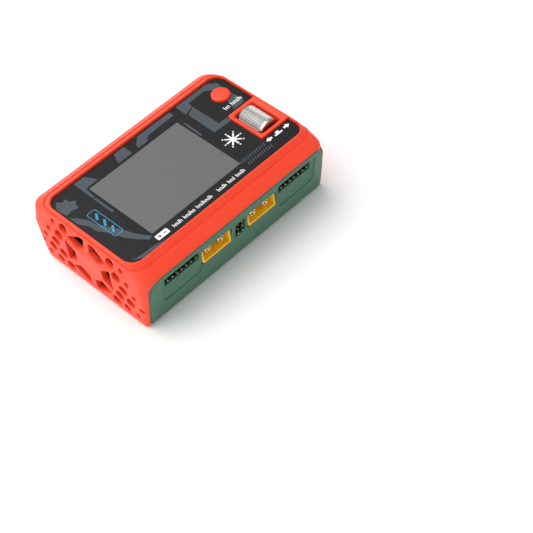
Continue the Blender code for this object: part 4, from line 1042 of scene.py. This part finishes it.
def usb_tongue():
    """The block behind the USB socket, its blade, and four contacts under the blade."""
    low, high = span("usb_tongue")
    middle = (low + high) / 2
    blade_z, half_blade = middle.z + 0.9, 0.9
    block = soft_box("usb_block", low, (high.x, low.y + 1.6, high.z), 0.1)
    blade_low = (low.x + 0.4, low.y + 0.5, blade_z - half_blade)
    blade = soft_box("blade", blade_low, (high.x - 0.4, high.y, blade_z + half_blade), 0.2)
    carve(block, blade, operation="UNION")
    finish_piece(block, "black_plastic", replaces=["usb_tongue"])
    strips = []
    for number in range(4):
        x = middle.x + (number - 1.5) * 2.3
        strip = rectangle(x, blade_z - half_blade - 0.06, 0.5, 0.05)
        strips.append(along_y(strip, (low.y + 2.2, high.y - 0.8)))
    finish_piece(skins("usb_contacts", strips), "gold")


# ---- fan, feet and screws

def fan():
    """The rotor: a hub with a bore, and seven curved blades."""
    low, high = span("fan_rotor")
    axis_z, hub_radius, bore_radius, tip_radius = VENT_Z - 0.6, 5.5, 0.95, 11.0
    blade_count, section_points = 7, 12
    root_radius = hub_radius - 0.4
    profile = [(bore_radius, low.x + 0.6), (hub_radius - 0.9, low.x + 0.6), (hub_radius - 0.3, low.x + 0.75)]
    profile += [(hub_radius, low.x + 1.1), (hub_radius, high.x), (bore_radius, high.x)]
    rotor = turned("rotor", profile, (0, 0, axis_z), "X", 48, looped=True)
    blades = []
    for number in range(blade_count):
        rings = []
        for share in (0.0, 0.25, 0.5, 0.75, 1.0):
            radius = root_radius + share * (tip_radius - root_radius)
            sweep = number * 2 * math.pi / blade_count + share * 0.35
            tilt = math.radians(48 - 16 * share)
            half_chord, half_thick = 2.7 + 0.5 * share, 0.38 - 0.12 * share
            ring = []
            for point in range(section_points):
                turn = point * 2 * math.pi / section_points
                along = half_chord * math.cos(turn)
                bow = 0.45 * (1 - (along / half_chord) ** 2)
                off = half_thick * math.sin(turn) + bow
                x = (low.x + high.x) / 2 + 0.2 + along * math.cos(tilt) - off * math.sin(tilt)
                around = along * math.sin(tilt) + off * math.cos(tilt)
                angle = sweep + around / radius
                ring.append((x, radius * math.cos(angle), axis_z + radius * math.sin(angle)))
            rings.append(ring)
        blades.append(rings)
    carve(rotor, skins("blades", blades), operation="UNION")
    finish_piece(rotor, "black_plastic", "fan_rotor", ["fan_rotor"])


def foot(corner_name):
    """A rubber foot with a shallow dish in its underside."""
    node = f"foot_{corner_name}"
    low, high = span(node)
    middle, radius = (low + high) / 2, (high.x - low.x) / 2
    profile = [(0.05, 0.15), (radius - 1.6, 0.15), (radius - 1.2, 0.0), (radius - 0.45, 0.0)]
    profile += [(radius - 0.12, 0.12), (radius, 0.4), (radius, high.z), (0.05, high.z)]
    piece = turned(f"rubber_{node}", profile, (middle.x, middle.y, 0), "Z", 48)
    finish_piece(piece, "rubber", replaces=[node])


def screw(corner_name):
    """A pan-head screw with a cross recess, driven from below."""
    node = f"case_screw_{corner_name}"
    low, high = span(node)
    x, y = (low.x + high.x) / 2, (low.y + high.y) / 2
    head, length = (high.x - low.x) / 2, high.z - low.z
    head_length, shank, thread_start, thread_pitch = 1.5, 1.2, 2.0, 0.8
    root, crest = shank - 0.1, shank + 0.12
    profile = [(0.05, 0.0), (head * 0.45, 0.06), (head * 0.8, 0.3), (head * 0.97, 0.65), (head, 0.95)]
    profile += [(head, head_length), (shank, head_length)]
    for turn in range(int((length - 3) / thread_pitch)):
        z = thread_start + turn * thread_pitch
        profile += [(root, z), (crest, z + 0.25), (crest, z + 0.35), (root, z + 0.6)]
    profile += [(root, length - thread_pitch), (0.3, length), (0.05, length)]
    piece = turned(f"screw_{corner_name}", profile, (x, y, low.z), "Z", 32)
    cross = []
    for half_x, half_y in ((1.25, 0.28), (0.28, 1.25)):
        corner = (x - half_x, y - half_y, low.z - 1)
        cross.append(soft_box("cross", corner, (x + half_x, y + half_y, low.z + 0.9)))
    carve(piece, *cross)
    finish_piece(piece, "steel", replaces=[node])


# ---- CAD nodes that stay, and the stage

def paint_cad_nodes():
    """The CAD nodes that stay get the procedural material of their slot."""
    slots = {row["node"]: row["material_slot"] for row in frame["record"]["subparts"]}
    for name, node in frame["nodes"].items():
        node.data.materials.clear()
        node.data.materials.append(LOOKS[slots[name]])
        node.data.shade_smooth()
        node.data.set_sharp_from_angle(angle=SMOOTH_ANGLE)


def stage():
    """A white floor, an even white surround, a wide light over the back and a small one on the left."""
    reach, floor_low, floor_top = 3000, -5.0, -0.01
    corners = rectangle(0, 0, reach, reach)
    floor = skins("floor", [[[(x, y, z) for x, y in corners] for z in (floor_low, floor_top)]])
    floor.data.materials.append(surface("floor_white", (0.92, 0.92, 0.92), 0.7, mottle=0.0, bump=0.0))

    world = bpy.data.worlds.new("studio")
    world.use_nodes = True
    background = world.node_tree.nodes["Background"]
    background.inputs["Color"].default_value = (1, 1, 1, 1)
    background.inputs["Strength"].default_value = 0.62
    bpy.context.scene.world = world

    for name, place, size, energy in (
        ("key", (-0.25, 0.45, 0.9), 1.3, 13.0),
        ("fill", (-0.9, 0.1, 0.25), 0.6, 1.6),
    ):
        lamp = bpy.data.lights.new(name, "AREA")
        lamp.size = size
        lamp.energy = energy
        light = bpy.data.objects.new(name, lamp)
        light.location = place
        light.rotation_mode = "QUATERNION"
        light.rotation_quaternion = (-Vector(place)).to_track_quat("-Z", "Y")
        bpy.context.scene.collection.objects.link(light)


def camera():
    data = bpy.data.cameras.new("camera")
    data.lens = CAMERA_LENS
    data.sensor_width = CAMERA_SENSOR
    data.clip_start = 0.01
    data.clip_end = 20
    obj = bpy.data.objects.new("camera", data)
    turn = Matrix.Rotation(CAMERA_AZIMUTH, 4, "Z") @ Matrix.Rotation(math.pi / 2 - CAMERA_ELEVATION, 4, "X")
    obj.matrix_world = Matrix.Translation(CAMERA_PLACE) @ turn @ Matrix.Rotation(CAMERA_ROLL, 4, "Z")
    bpy.context.scene.collection.objects.link(obj)
    bpy.context.scene.camera = obj


camera()
paint_cad_nodes()
case_top()
case_bottom()
film()
display_window()
film_print()
scroll_wheel()
exit_button()
for plug_name, plug_side in (("output_left", -1), ("output_right", -1), ("input", 1)):
    battery_plug(plug_name, plug_side)
for balance_name, balance_x in (("balance_left", -BALANCE_X), ("balance_right", BALANCE_X)):
    place = (CONNECTORS_X + balance_x, BALANCE_Z, BALANCE_SIZE_X, BALANCE_SIZE_Z)
    header(balance_name, *place, BALANCE_PINS, 1, BALANCE_PITCH)
header("signal_header", SIGNAL_X, SIGNAL_Z, SIGNAL_SIZE_X, SIGNAL_SIZE_Z, 2, 3, SIGNAL_PITCH)
usb_shell()
usb_tongue()
fan()
for corner_name in CORNER_NAMES:
    foot(corner_name)
for corner_name in CORNER_NAMES:
    screw(corner_name)
stage()
bpy.context.scene.view_settings.view_transform = "Standard"
